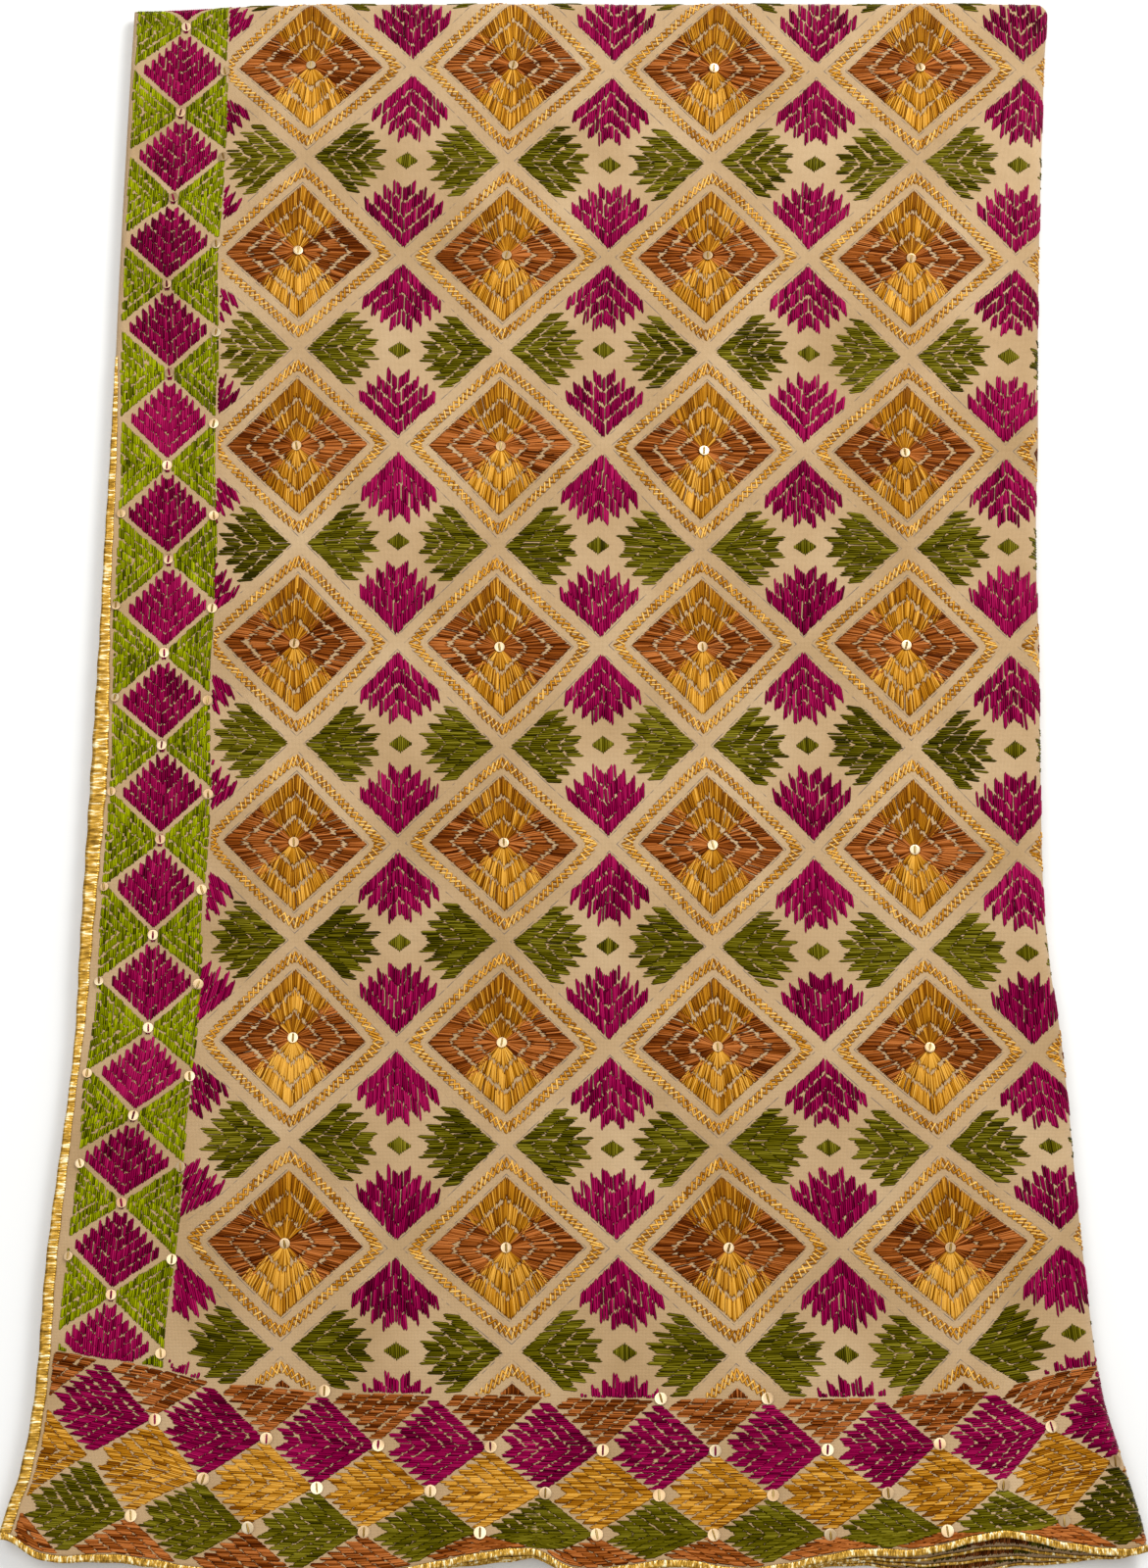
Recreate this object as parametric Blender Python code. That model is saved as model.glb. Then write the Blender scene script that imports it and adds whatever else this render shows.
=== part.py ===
"""A phulkari shawl, folded in four and laid flat, with its wavy hem towards -Y.

Metres, +Z up. The origin is the middle of the shawl's underside. The cloth is folded once
lengthwise, which puts a fold along the right side, and once across, which puts a fold at the top.
"""

import math

import bpy
from mathutils import Vector

# Driving sizes
WALL = 0.0016            # the cotton with its silk stitches
SEAM_GAP = 0.0003        # between pieces that touch
MID_HEIGHT = 0.0056      # of the four layers, at the level of the folds
SIDE_CURL = 0.0085       # how far in the right fold starts to turn down
FOLD_END = 0.0009        # of the upper right fold over MID_HEIGHT
NOSE_STRETCH = 1.25      # the top fold's depth beside its height
NOSE_AXIS = 0.4225       # Y where the top fold starts to turn down
NOSE_TURN = 148          # degrees that the top layer turns over the fold
CORE_FRONT = -0.3450     # Y where the lower layers part from each other
LACE_WIDTH = 0.0072
LACE_THICK = 0.0007
LACE_OVERHANG = 0.0012   # of the gold lace past the cloth's edge
EDGE_TOP_OF_LACE = 0.215  # Y up to which the left edge shows its lace
LIP = 0.0013             # thickness of the hidden layers' left edges
LIP_DEPTH = 0.022        # of the grooves between them
UNDERSIDE_INSET = 0.024  # of the underside's own strips from both sides
UNDERSIDE_STRIPS = 8
MIDDLE_OFF = Vector((-0.00019, -0.00108, 0.0))  # the outline's middle in the tables' own places

ACROSS = 24              # strips of cloth from the left edge to the right fold
ALONG = 26               # sections from the top fold's axis to CORE_FRONT
EDGE_CROWDING = 0.0056   # moves the strips' lines towards both sides, as a share of the width
SETTLING = 3             # rounds in which a point's place across and along are fitted to each other
SIDE_TURNS = (22, 45, 68, 90)            # degrees round the right fold
NOSE_TURNS = (25, 50, 75, 100, 124, NOSE_TURN)
CORE_NOSE_TURNS = (25, 50, 72)
END_STEPS = (0.0, 0.25, 0.5, 0.75, 1.0)  # from the core's front to the hem

# Sections across the shawl, from the hem to the top fold. All sizes are in metres.
# y: place along the shawl. left, right: its outline. crown: height over the floor at the middle.
# edge: height of the left edge. peek: how far the lower fold shows past the upper one.
SECTION_COLUMNS = ("y", "left", "right", "crown", "edge", "peek")
SECTIONS = (
    (-0.4300, -0.2835, 0.2840, 0.0108, 0.0092, -0.0030),
    (-0.4150, -0.2838, 0.2832, 0.0110, 0.0096, -0.0030),
    (-0.3830, -0.2745, 0.2750, 0.0116, 0.0100, -0.0020),
    (-0.3450, -0.2692, 0.2650, 0.0122, 0.0098, -0.0020),
    (-0.2764, -0.2665, 0.2585, 0.0126, 0.0094, -0.0015),
    (-0.1709, -0.2576, 0.2525, 0.0124, 0.0090, -0.0010),
    (-0.1139, -0.2564, 0.2467, 0.0122, 0.0092, 0.0012),
    (-0.0647, -0.2554, 0.2462, 0.0126, 0.0090, -0.0015),
    (0.0464, -0.2533, 0.2490, 0.0122, 0.0092, 0.0010),
    (0.1023, -0.2529, 0.2497, 0.0124, 0.0090, -0.0010),
    (0.1592, -0.2520, 0.2525, 0.0126, 0.0088, 0.0012),
    (0.2725, -0.2516, 0.2581, 0.0124, 0.0086, -0.0015),
    (0.3889, -0.2501, 0.2656, 0.0120, 0.0084, -0.0060),
    (0.4306, -0.2494, 0.2689, 0.0118, 0.0084, -0.0060),
)

# The hem from left to right. x: place across. reach: Y of the top layer's hem.
# lift: how far its waves stand over the lower layers. under: how much further the next hem reaches.
HEM_COLUMNS = ("x", "reach", "lift", "under")
HEM = (
    (-0.284, -0.4160, 0.0010, -0.0012),
    (-0.262, -0.4262, 0.0020, -0.0010),
    (-0.226, -0.4246, 0.0060, 0.0010),
    (-0.172, -0.4302, 0.0008, -0.0006),
    (-0.098, -0.4304, 0.0020, -0.0006),
    (-0.023, -0.4234, 0.0080, 0.0014),
    (0.002, -0.4302, 0.0014, -0.0006),
    (0.050, -0.4262, 0.0056, 0.0004),
    (0.086, -0.4304, 0.0006, -0.0008),
    (0.140, -0.4242, 0.0070, 0.0012),
    (0.170, -0.4238, 0.0060, 0.0016),
    (0.211, -0.4154, 0.0112, 0.0052),
    (0.241, -0.4206, 0.0062, 0.0040),
    (0.270, -0.4240, 0.0030, 0.0010),
    (0.285, -0.4220, 0.0010, -0.0010),
)
HEM_BOTTOM = -0.4306     # the furthest that a hem reaches
LIFT_LENGTH = 0.095      # how far back from the hem a wave fades out

# Soft folds that the stack keeps from its storage. x, y: middle. angle: degrees from +X.
# length, width: of the trough or ridge. height: over the crown, below it where negative.
FOLD_COLUMNS = ("x", "y", "angle", "length", "width", "height")
FOLDS = (
    (-0.165, 0.250, 64, 0.260, 0.034, 0.0011),
    (0.060, 0.335, 8, 0.300, 0.036, -0.0012),
    (0.185, 0.120, 82, 0.320, 0.040, 0.0013),
    (-0.020, 0.020, -16, 0.340, 0.044, -0.0010),
    (-0.150, -0.140, 74, 0.280, 0.038, 0.0012),
    (0.120, -0.190, -24, 0.260, 0.036, 0.0014),
    (0.205, -0.290, 70, 0.180, 0.030, -0.0012),
    (-0.060, -0.300, 12, 0.240, 0.034, 0.0010),
)

# The loose lower hems. below: layers under it. spread: share of the free height left under it.
# back: how far its hem lies behind the table's. shift: of its waves, in metres.
LAYER_COLUMNS = ("name", "below", "spread", "back", "shift")
LOWER_LAYERS = (
    ("second", 2, 0.62, 0.0000, 0.000),
    ("third", 1, 0.30, 0.0011, 0.009),
    ("fourth", 0, 0.00, 0.0022, 0.019),
)

SHARP_ANGLE = 50
CLOTH_COLOUR = (0.60, 0.43, 0.23)
HIDDEN_COLOUR = (0.52, 0.37, 0.20)
LACE_COLOUR = (0.75, 0.52, 0.18)


def smooth_step(t):
    t = min(max(t, 0.0), 1.0)
    return t * t * (3 - 2 * t)


def read_table(rows, columns, name, at, key):
    """The named column at a place, on a smooth curve through the table's rows."""
    place, value = columns.index(key), columns.index(name)
    rows = sorted(rows, key=lambda row: row[place])
    if at <= rows[0][place]:
        return rows[0][value]
    if at >= rows[-1][place]:
        return rows[-1][value]
    k = next(i for i in range(len(rows) - 1) if at <= rows[i + 1][place])
    (x0, v0), (x1, v1) = ((rows[i][place], rows[i][value]) for i in (k, k + 1))

    def slope(i):
        if i in (0, len(rows) - 1):
            return 0.0
        before, after = rows[i - 1], rows[i + 1]
        return (after[value] - before[value]) / (after[place] - before[place])

    t, step = (at - x0) / (x1 - x0), x1 - x0
    return (
        (1 + 2 * t) * (1 - t) ** 2 * v0
        + t * (1 - t) ** 2 * step * slope(k)
        + t * t * (3 - 2 * t) * v1
        + t * t * (t - 1) * step * slope(k + 1)
    )


def section(y, name):
    return read_table(SECTIONS, SECTION_COLUMNS, name, y, "y")


def hem(x, name):
    return read_table(HEM, HEM_COLUMNS, name, x, "x")


def fold_height(x, y):
    """The soft folds, each a ridge or trough that fades at its ends."""
    total = 0.0
    for row in FOLDS:
        fold = dict(zip(FOLD_COLUMNS, row))
        turn = math.radians(fold["angle"])
        dx, dy = x - fold["x"], y - fold["y"]
        along = (dx * math.cos(turn) + dy * math.sin(turn)) / (fold["length"] / 2)
        aside = (dy * math.cos(turn) - dx * math.sin(turn)) / fold["width"]
        total += fold["height"] * math.exp(-along * along - aside * aside)
    return total


def wave_share(x, y):
    """1 at the hem, 0 where its waves have faded out."""
    back = y - hem(x, "reach")
    return smooth_step(1 - back / LIFT_LENGTH) ** 1.5


def top_height(x, y):
    """Height of the top layer's face over the floor."""
    left, right = section(y, "left"), section(y, "right")
    share = (x - left) / (right - left)
    crown, edge = section(y, "crown"), section(y, "edge")
    rise = smooth_step(min(share / 0.22, 1.0))
    height = edge + (crown - edge) * rise
    inside = smooth_step(share / 0.10) * smooth_step((1 - share) / 0.08)
    nose = smooth_step((NOSE_AXIS - y) / 0.05)
    return height + fold_height(x, y) * inside * nose + hem(x, "lift") * wave_share(x, y)


def across_places(y):
    """X of the flat strips' lines at a section, closer together near the edges."""
    left, right = section(y, "left"), section(y, "right") - SIDE_CURL
    shares = [i / ACROSS for i in range(ACROSS + 1)]
    crowded = [t - EDGE_CROWDING * math.sin(math.tau * t) for t in shares]
    return [left + (right - left) * t for t in crowded]


def section_line(y, inset):
    """(x, height over MID_HEIGHT) of the top layer's section, moved in by the inset."""
    line = [(x, top_height(x, y) - inset - MID_HEIGHT) for x in across_places(y)]
    start, top = line[-1]
    for turn in SIDE_TURNS:
        a = math.radians(turn)
        x = start + (SIDE_CURL - inset) * math.sin(a)
        line.append((x, FOLD_END * math.sin(a) + top * math.cos(a)))
    return line


def flat_rows():
    """Y of the sections between the nose and the core's front."""
    return [NOSE_AXIS + (CORE_FRONT - NOSE_AXIS) * i / ALONG for i in range(ALONG + 1)]


def hem_place(row_y, x, t, reach):
    """Y on the loose end: a straight line at the core's front, the hem's own line at its end."""
    return row_y + (reach - row_y) * t


def top_layer_rows(inset):
    """The rows of points of one face of the top layer, from its end under the nose to the hem."""
    rows = []
    nose = section_line(NOSE_AXIS, inset)
    for turn in reversed(NOSE_TURNS):
        a = math.radians(turn)
        rows.append([
            Vector((x, NOSE_AXIS + NOSE_STRETCH * h * math.sin(a), MID_HEIGHT + h * math.cos(a)))
            for x, h in nose
        ])
    for y in flat_rows():
        rows.append([Vector((x, y, MID_HEIGHT + h)) for x, h in section_line(y, inset)])
    columns = len(rows[-1])
    for t in END_STEPS[1:]:
        row = []
        for i in range(columns):
            x = section_line(CORE_FRONT, inset)[i][0]
            for _ in range(SETTLING):
                y = hem_place(CORE_FRONT, x, t, hem(x, "reach"))
                x, h = section_line(y, inset)[i]
            row.append(Vector((x, y, MID_HEIGHT + h)))
        rows.append(row)
    return rows


def closed_sheet(name, outer, inner, colour, roughness):
    """A closed wall between two grids of points, the outer one on its upper side."""
    across, along = len(outer[0]), len(outer)
    points = [p for row in outer for p in row] + [p for row in inner for p in row]
    shift = across * along

    def at(i, j, side):
        return side * shift + j * across + i

    faces = []
    for j in range(along - 1):
        for i in range(across - 1):
            for side, turn in ((0, 1), (1, -1)):
                first, last = at(i, j, side), at(i + 1, j + 1, side)
                faces.append([first, at(i + 1, j, side), last][::turn])
                faces.append([first, last, at(i, j + 1, side)][::turn])
    for i in range(across - 1):
        faces.append([at(i + 1, 0, 0), at(i, 0, 0), at(i, 0, 1), at(i + 1, 0, 1)])
        j = along - 1
        faces.append([at(i, j, 0), at(i + 1, j, 0), at(i + 1, j, 1), at(i, j, 1)])
    for j in range(along - 1):
        faces.append([at(0, j, 0), at(0, j + 1, 0), at(0, j + 1, 1), at(0, j, 1)])
        i = across - 1
        faces.append([at(i, j + 1, 0), at(i, j, 0), at(i, j, 1), at(i, j + 1, 1)])
    return make_object(name, points, faces, colour, roughness)


def make_object(name, points, faces, colour, roughness, metallic=0.0):
    """One named object with its own material, its faces turned outwards."""
    mesh = bpy.data.meshes.new(name)
    mesh.from_pydata([tuple(p - MIDDLE_OFF) for p in points], [], faces)
    volume = 0.0
    mesh.calc_loop_triangles()
    for tri in mesh.loop_triangles:
        a, b, c = (mesh.vertices[k].co for k in tri.vertices)
        volume += a.dot(b.cross(c))
    if volume < 0:
        mesh.flip_normals()
    mesh.shade_smooth()
    mesh.set_sharp_from_angle(angle=math.radians(SHARP_ANGLE))
    obj = bpy.data.objects.new(name, mesh)
    bpy.context.scene.collection.objects.link(obj)
    material = bpy.data.materials.new(name)
    material.use_nodes = True
    shader = material.node_tree.nodes["Principled BSDF"]
    shader.inputs["Base Color"].default_value = (*colour, 1.0)
    shader.inputs["Roughness"].default_value = roughness
    shader.inputs["Metallic"].default_value = metallic
    mesh.materials.append(material)
    return obj


def make_top_layer():
    return closed_sheet(
        "top_layer", top_layer_rows(0.0), top_layer_rows(WALL), CLOTH_COLOUR, 0.8
    )


def core_section(y):
    """The hidden layers' closed section: (x, z) from the left edge over the top to the underside."""
    over = [(x, MID_HEIGHT + h) for x, h in section_line(y, WALL + SEAM_GAP)]
    (left, left_top), right = over[0], section(y, "right")
    wobble = 0.0008 * math.sin(y * 41) + 0.0006 * math.sin(y * 23 + 1)
    over[0] = (left + 0.0016 + wobble, left_top)
    fold = right + section(y, "peek")
    lower_fold = [
        (right - SIDE_CURL + 0.0010, MID_HEIGHT - 0.0008),
        (fold - 0.0030, MID_HEIGHT - 0.0012),
        (fold - 0.0012, MID_HEIGHT - 0.0028),
        (fold - 0.0026, 0.0008),
        (fold - 0.0060, 0.0),
    ]
    first, last = right - UNDERSIDE_INSET, left + UNDERSIDE_INSET
    underside = [
        (first + (last - first) * i / UNDERSIDE_STRIPS, 0.0) for i in range(UNDERSIDE_STRIPS + 1)
    ]
    middle = (left_top + WALL) / 2
    third, second = middle - LIP / 2, left_top - LIP
    edges = [
        (left + 0.0012 - wobble, 0.0),
        (left + 0.0008 - wobble, LIP),
        (left + LIP_DEPTH, (LIP + third) / 2),
        (left + 0.0034 + wobble, third),
        (left + 0.0030 + wobble, third + LIP),
        (left + LIP_DEPTH, (third + LIP + second) / 2),
        (left + 0.0022 + wobble, second),
    ]
    return over, lower_fold + underside + edges


def make_hidden_layers():
    """The hidden layers as one rounded body: a flat underside, grooved edges and a rounded nose."""
    rings = []
    over, rest = core_section(NOSE_AXIS)

    def depth(x):
        """Height of the core's upper face over MID_HEIGHT at a place across the nose."""
        if x <= over[0][0]:
            return over[0][1] - MID_HEIGHT
        for (x0, z0), (x1, z1) in zip(over, over[1:]):
            if x <= x1:
                return z0 + (z1 - z0) * (x - x0) / (x1 - x0) - MID_HEIGHT
        return 0.0002

    for turn in reversed(CORE_NOSE_TURNS):
        a = math.radians(turn)
        ring = []
        for x, z in over + rest:
            high = max(depth(x), 0.0002)
            h = max(z - MID_HEIGHT, -high)
            y = NOSE_AXIS + NOSE_STRETCH * high * math.sin(a)
            ring.append(Vector((x, y, MID_HEIGHT + h * math.cos(a))))
        rings.append(ring)
    for k, y in enumerate(flat_rows()):
        over, rest = core_section(y)
        ring = []
        for x, z in over + rest:
            floor = MID_HEIGHT - max(depth(x), 0.0002) if k == 0 else 0.0
            ring.append(Vector((x, y, max(z, floor))))
        rings.append(ring)
    around = len(rings[0])
    points = [p for ring in rings for p in ring]
    faces = []
    for j in range(len(rings) - 1):
        for i in range(around):
            n = (i + 1) % around
            here, there = j * around, (j + 1) * around
            faces.append([here + i, here + n, there + n])
            faces.append([here + i, there + n, there + i])
    faces.append(list(reversed(range(around))))
    last = (len(rings) - 1) * around
    faces.append([last + i for i in range(around)])
    return make_object("hidden_layers", points, faces, HIDDEN_COLOUR, 0.85)


def lower_layer_rows(layer, side):
    """One face of a loose lower hem: side 0 is its upper face and side 1 its lower one."""
    start = CORE_FRONT - SEAM_GAP
    rows = []
    for t in END_STEPS:
        row = []
        for i in range(ACROSS + 1):
            x = across_places(start)[i]
            for _ in range(SETTLING):
                reach = hem(x, "reach") - hem(x + layer["shift"], "under") + layer["back"]
                reach = max(reach, HEM_BOTTOM)
                y = hem_place(start, x, t, reach)
                x = across_places(y)[i]
            free = top_height(x, y) - 4 * WALL
            ripple = 1 + 0.16 * math.sin(31 * (x + layer["shift"]) + 2) * t
            z = layer["below"] * WALL + free * layer["spread"] * ripple
            row.append(Vector((x, y, z + (WALL if side == 0 else 0.0))))
        rows.append(row)
    return rows


def make_lower_layers():
    for row in LOWER_LAYERS:
        layer = dict(zip(LAYER_COLUMNS, row))
        upper, lower = (lower_layer_rows(layer, side) for side in (0, 1))
        closed_sheet(layer["name"] + "_layer_end", upper, lower, HIDDEN_COLOUR, 0.85)
        make_end_lace(layer["name"] + "_lace", upper)


def strip_over(name, edge, inward, up):
    """A flat gold strip over a line of edge points, LACE_WIDTH wide and just clear of the cloth."""
    outer, inner = [], []
    for low, grid in ((SEAM_GAP, inner), (SEAM_GAP + LACE_THICK, outer)):
        grid.append([p - d * LACE_OVERHANG + n * low for p, d, n in zip(edge, inward, up)])
        grid.append([
            p + d * (LACE_WIDTH - LACE_OVERHANG) + n * low for p, d, n in zip(edge, inward, up)
        ])
    return closed_sheet(name, outer, inner, LACE_COLOUR, 0.35)


def unit(v):
    return v / v.length


def upwards(edge, inward):
    """The direction away from the cloth at each point of an edge."""
    found = []
    for k, across in enumerate(inward):
        before, after = edge[max(k - 1, 0)], edge[min(k + 1, len(edge) - 1)]
        up = unit((after - before).cross(across))
        found.append(up if up.z > 0 else -up)
    return found


def make_end_lace(name, rows):
    """The lace along a hem, on the upper face whose rows of points are given."""
    edge = rows[-1][:ACROSS + 1]
    inward = [unit(a - b) for a, b in zip(rows[-2], edge)]
    return strip_over(name, edge, inward, upwards(edge, inward))


def make_side_lace(rows):
    """The lace along the left edge, below the place where that edge is rolled under."""
    corner = rows[-1][0].y + LACE_WIDTH
    lines = [row for row in rows if corner < row[0].y < EDGE_TOP_OF_LACE]
    edge = [row[0] for row in lines]
    inward = [unit(row[1] - row[0]) for row in lines]
    return strip_over("side_lace", edge, inward, upwards(edge, inward))


def clear_scene():
    for obj in list(bpy.data.objects):
        bpy.data.objects.remove(obj, do_unlink=True)


def main():
    clear_scene()
    make_top_layer()
    make_hidden_layers()
    make_lower_layers()
    rows = top_layer_rows(0.0)
    make_side_lace(rows)
    make_end_lace("end_lace", rows)


main()
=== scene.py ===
"""The looks of a phulkari shawl, folded in four and laid flat.

The cloth is tan cotton. Each stitch of its floss-silk embroidery is a small raised thread, placed by
the charts below: the field of diamonds and leaves, the long side border and the end border.
"""

import math

import bpy
import numpy as np
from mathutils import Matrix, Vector, noise


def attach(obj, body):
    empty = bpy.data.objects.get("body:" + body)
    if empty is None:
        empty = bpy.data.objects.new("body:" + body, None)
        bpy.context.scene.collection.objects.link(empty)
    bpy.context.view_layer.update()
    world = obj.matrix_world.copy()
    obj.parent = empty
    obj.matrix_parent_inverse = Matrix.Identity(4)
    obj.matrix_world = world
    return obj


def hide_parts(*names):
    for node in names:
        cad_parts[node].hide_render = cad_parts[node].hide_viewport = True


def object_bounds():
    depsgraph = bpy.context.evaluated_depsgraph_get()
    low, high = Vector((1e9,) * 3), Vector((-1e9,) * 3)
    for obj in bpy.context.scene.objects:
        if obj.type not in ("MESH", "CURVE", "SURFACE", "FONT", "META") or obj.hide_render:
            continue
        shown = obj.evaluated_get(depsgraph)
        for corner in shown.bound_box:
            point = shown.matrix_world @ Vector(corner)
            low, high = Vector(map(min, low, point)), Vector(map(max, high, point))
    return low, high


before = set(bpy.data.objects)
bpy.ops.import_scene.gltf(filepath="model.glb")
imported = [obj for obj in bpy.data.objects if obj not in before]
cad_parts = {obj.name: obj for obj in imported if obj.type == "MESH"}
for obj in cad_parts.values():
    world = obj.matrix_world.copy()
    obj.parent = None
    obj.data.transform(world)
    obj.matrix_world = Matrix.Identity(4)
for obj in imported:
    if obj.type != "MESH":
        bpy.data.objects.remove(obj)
CAD_LOW, CAD_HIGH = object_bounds()
RANDOM = np.random.default_rng(7)

# The folded form, in metres, as the solids have it
WALL = 0.0010            # the cloth alone, without its stitches
MID_HEIGHT = 0.0056      # of the four layers, at the level of the folds
SIDE_CURL = 0.0085       # how far in the right fold starts to turn down
FOLD_END = 0.0009        # of the upper right fold over MID_HEIGHT
NOSE_STRETCH = 1.25      # the top fold's depth beside its height
NOSE_AXIS = 0.4225       # where the top fold starts to turn down
NOSE_TURN = 148          # degrees that the top layer turns over the fold
NOSE_ROUND = 0.0072      # of cloth for each radian of the top fold
CURL_LENGTH = 0.0114     # of cloth round the right fold
CORE_FRONT = -0.3450     # where the lower layers part from each other
LIFT_LENGTH = 0.095      # how far back from the hem a wave fades out
LACE_WIDTH = 0.0066
HEM_LACE_WIDTH = 0.0035
LOWER_LACE_WIDTH = 0.0016
LACE_OVERHANG = 0.0010
EDGE_TOP_OF_LACE = 0.215  # up to here the left edge shows its lace
# The left edge. lace: width of its lace. stitches: how far in the embroidery starts.
LEFT_EDGE_COLUMNS = ("y", "lace", "stitches")
LEFT_EDGE = (
    (-0.450, 0.0058, 0.0085),
    (-0.320, 0.0058, 0.0085),
    (-0.240, 0.0050, 0.0096),
    (-0.187, 0.0038, 0.0070),
    (-0.140, 0.0056, 0.0090),
    (-0.090, 0.0072, 0.0088),
    (-0.047, 0.0084, 0.0093),
    (-0.015, 0.0088, 0.0097),
    (0.027, 0.0070, 0.0080),
    (0.070, 0.0050, 0.0062),
    (0.113, 0.0044, 0.0066),
    (0.156, 0.0036, 0.0056),
    (0.198, 0.0022, 0.0036),
    (0.215, 0.0014, 0.0028),
    (0.450, 0.0012, 0.0020),
)
MIDDLE_X, MIDDLE_Y = -0.00019, -0.00108  # the outline's middle in the tables' own places

# Sections across the shawl, from the hem to the top fold.
# y: place along the shawl. left, right: its outline. crown: height over the floor at the middle.
# edge: height of the left edge. peek: how far the lower fold shows past the upper one.
SECTION_COLUMNS = ("y", "left", "right", "crown", "edge", "peek")
SECTIONS = (
    (-0.4300, -0.2835, 0.2840, 0.0108, 0.0092, -0.0030),
    (-0.4150, -0.2838, 0.2832, 0.0110, 0.0096, -0.0030),
    (-0.3830, -0.2745, 0.2750, 0.0116, 0.0100, -0.0020),
    (-0.3450, -0.2692, 0.2650, 0.0122, 0.0098, -0.0020),
    (-0.2764, -0.2665, 0.2585, 0.0126, 0.0094, -0.0015),
    (-0.1709, -0.2576, 0.2525, 0.0124, 0.0090, -0.0010),
    (-0.1139, -0.2564, 0.2467, 0.0122, 0.0092, 0.0012),
    (-0.0647, -0.2554, 0.2462, 0.0126, 0.0090, -0.0015),
    (0.0464, -0.2533, 0.2490, 0.0122, 0.0092, 0.0010),
    (0.1023, -0.2529, 0.2497, 0.0124, 0.0090, -0.0010),
    (0.1592, -0.2520, 0.2525, 0.0126, 0.0088, 0.0012),
    (0.2725, -0.2516, 0.2581, 0.0124, 0.0086, -0.0015),
    (0.3889, -0.2501, 0.2656, 0.0120, 0.0084, -0.0060),
    (0.4306, -0.2494, 0.2689, 0.0118, 0.0084, -0.0060),
)

# The hem from left to right. x: place across. reach: where the top layer's hem lies.
# lift: how far its waves stand over the lower layers. under: how much further the next hem reaches.
HEM_COLUMNS = ("x", "reach", "lift", "under")
HEM = (
    (-0.284, -0.4160, 0.0010, -0.0012),
    (-0.262, -0.4262, 0.0020, -0.0010),
    (-0.226, -0.4266, 0.0060, 0.0014),
    (-0.172, -0.4340, 0.0008, -0.0006),
    (-0.098, -0.4344, 0.0020, -0.0006),
    (-0.023, -0.4234, 0.0080, 0.0036),
    (0.002, -0.4332, 0.0014, -0.0006),
    (0.050, -0.4290, 0.0056, 0.0004),
    (0.086, -0.4330, 0.0006, -0.0008),
    (0.140, -0.4242, 0.0070, 0.0040),
    (0.170, -0.4238, 0.0060, 0.0064),
    (0.211, -0.4154, 0.0112, 0.0128),
    (0.241, -0.4206, 0.0062, 0.0086),
    (0.270, -0.4240, 0.0030, 0.0026),
    (0.285, -0.4220, 0.0010, -0.0010),
)
HEM_BOTTOM = -0.4344

# Soft folds. x, y: middle. angle: degrees from +X. length, width, height: of the ridge or trough.
FOLD_COLUMNS = ("x", "y", "angle", "length", "width", "height")
FOLDS = (
    (-0.165, 0.250, 64, 0.260, 0.034, 0.0011),
    (0.060, 0.335, 8, 0.300, 0.036, -0.0012),
    (0.185, 0.120, 82, 0.320, 0.040, 0.0013),
    (-0.020, 0.020, -16, 0.340, 0.044, -0.0010),
    (-0.150, -0.140, 74, 0.280, 0.038, 0.0012),
    (0.120, -0.190, -24, 0.260, 0.036, 0.0014),
    (0.205, -0.290, 70, 0.180, 0.030, -0.0012),
    (-0.060, -0.300, 12, 0.240, 0.034, 0.0010),
)

# The chart of the field, in whole diamonds: p counts them from the left, q from the top.
# y: place of the row. first: of its first diamond. pitch: between diamonds. skew: the row's slope.
# centre, inner: p of the side border's middle and of its right edge.
# rise: how far the row's ends rise, shared out as for the end border's lines.
ROW_COLUMNS = ("q", "y", "first", "pitch", "skew", "centre", "inner", "rise")
ROWS = (
    (-2.0, 0.6206, -0.1475, 0.1150, 0.0000, -0.620, -0.425, 0.000),
    (-1.0, 0.5050, -0.1475, 0.1150, 0.0000, -0.620, -0.425, 0.000),
    (0.0, 0.3894, -0.1486, 0.1144, -0.0017, -0.628, -0.408, 0.000),
    (1.0, 0.2752, -0.1518, 0.1132, -0.0039, -0.634, -0.385, 0.000),
    (2.0, 0.1621, -0.1494, 0.1098, -0.0046, -0.652, -0.408, 0.000),
    (3.0, 0.0485, -0.1491, 0.1091, -0.0017, -0.638, -0.404, 0.000),
    (4.0, -0.0604, -0.1453, 0.1084, -0.0044, -0.662, -0.424, 0.000),
    (5.0, -0.1664, -0.1448, 0.1092, -0.0051, -0.706, -0.465, 0.000),
    (6.0, -0.2731, -0.1467, 0.1126, -0.0005, -0.748, -0.484, 0.012),
    (7.0, -0.3785, -0.1450, 0.1142, 0.0000, -0.790, -0.540, 0.020),
    (8.0, -0.4839, -0.1450, 0.1142, 0.0000, -0.830, -0.590, 0.024),
)

# The end border's lines, from its top to the hem lace, and how far their left ends rise.
END_LINE_COLUMNS = ("r", "y", "rise")
END_LINES = (
    (0.0, -0.3474, 0.0237),
    (1.0, -0.3729, 0.0232),
    (2.0, -0.3946, 0.0225),
    (3.0, -0.4136, 0.0125),
    (4.0, -0.4300, 0.0090),
)
# Share of that rise from left to right.
RISE_COLUMNS = ("x", "share")
RISES = (
    (-0.285, 1.10), (-0.260, 1.00), (-0.238, 0.84), (-0.210, 0.66), (-0.184, 0.36),
    (-0.157, 0.27), (-0.131, 0.17), (-0.097, 0.11), (-0.040, 0.07), (0.030, 0.00),
    (0.150, 0.03), (0.184, 0.14), (0.214, 0.22), (0.238, 0.50), (0.260, 0.67), (0.285, 0.80),
)
END_PITCH = 0.0559       # between the end border's diamonds
END_START = -0.2090      # x of the first joint of its magenta row
SIDE_PITCH = 0.470       # between the side border's diamonds, in q
SIDE_START = 0.226       # q of one of its joints

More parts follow.
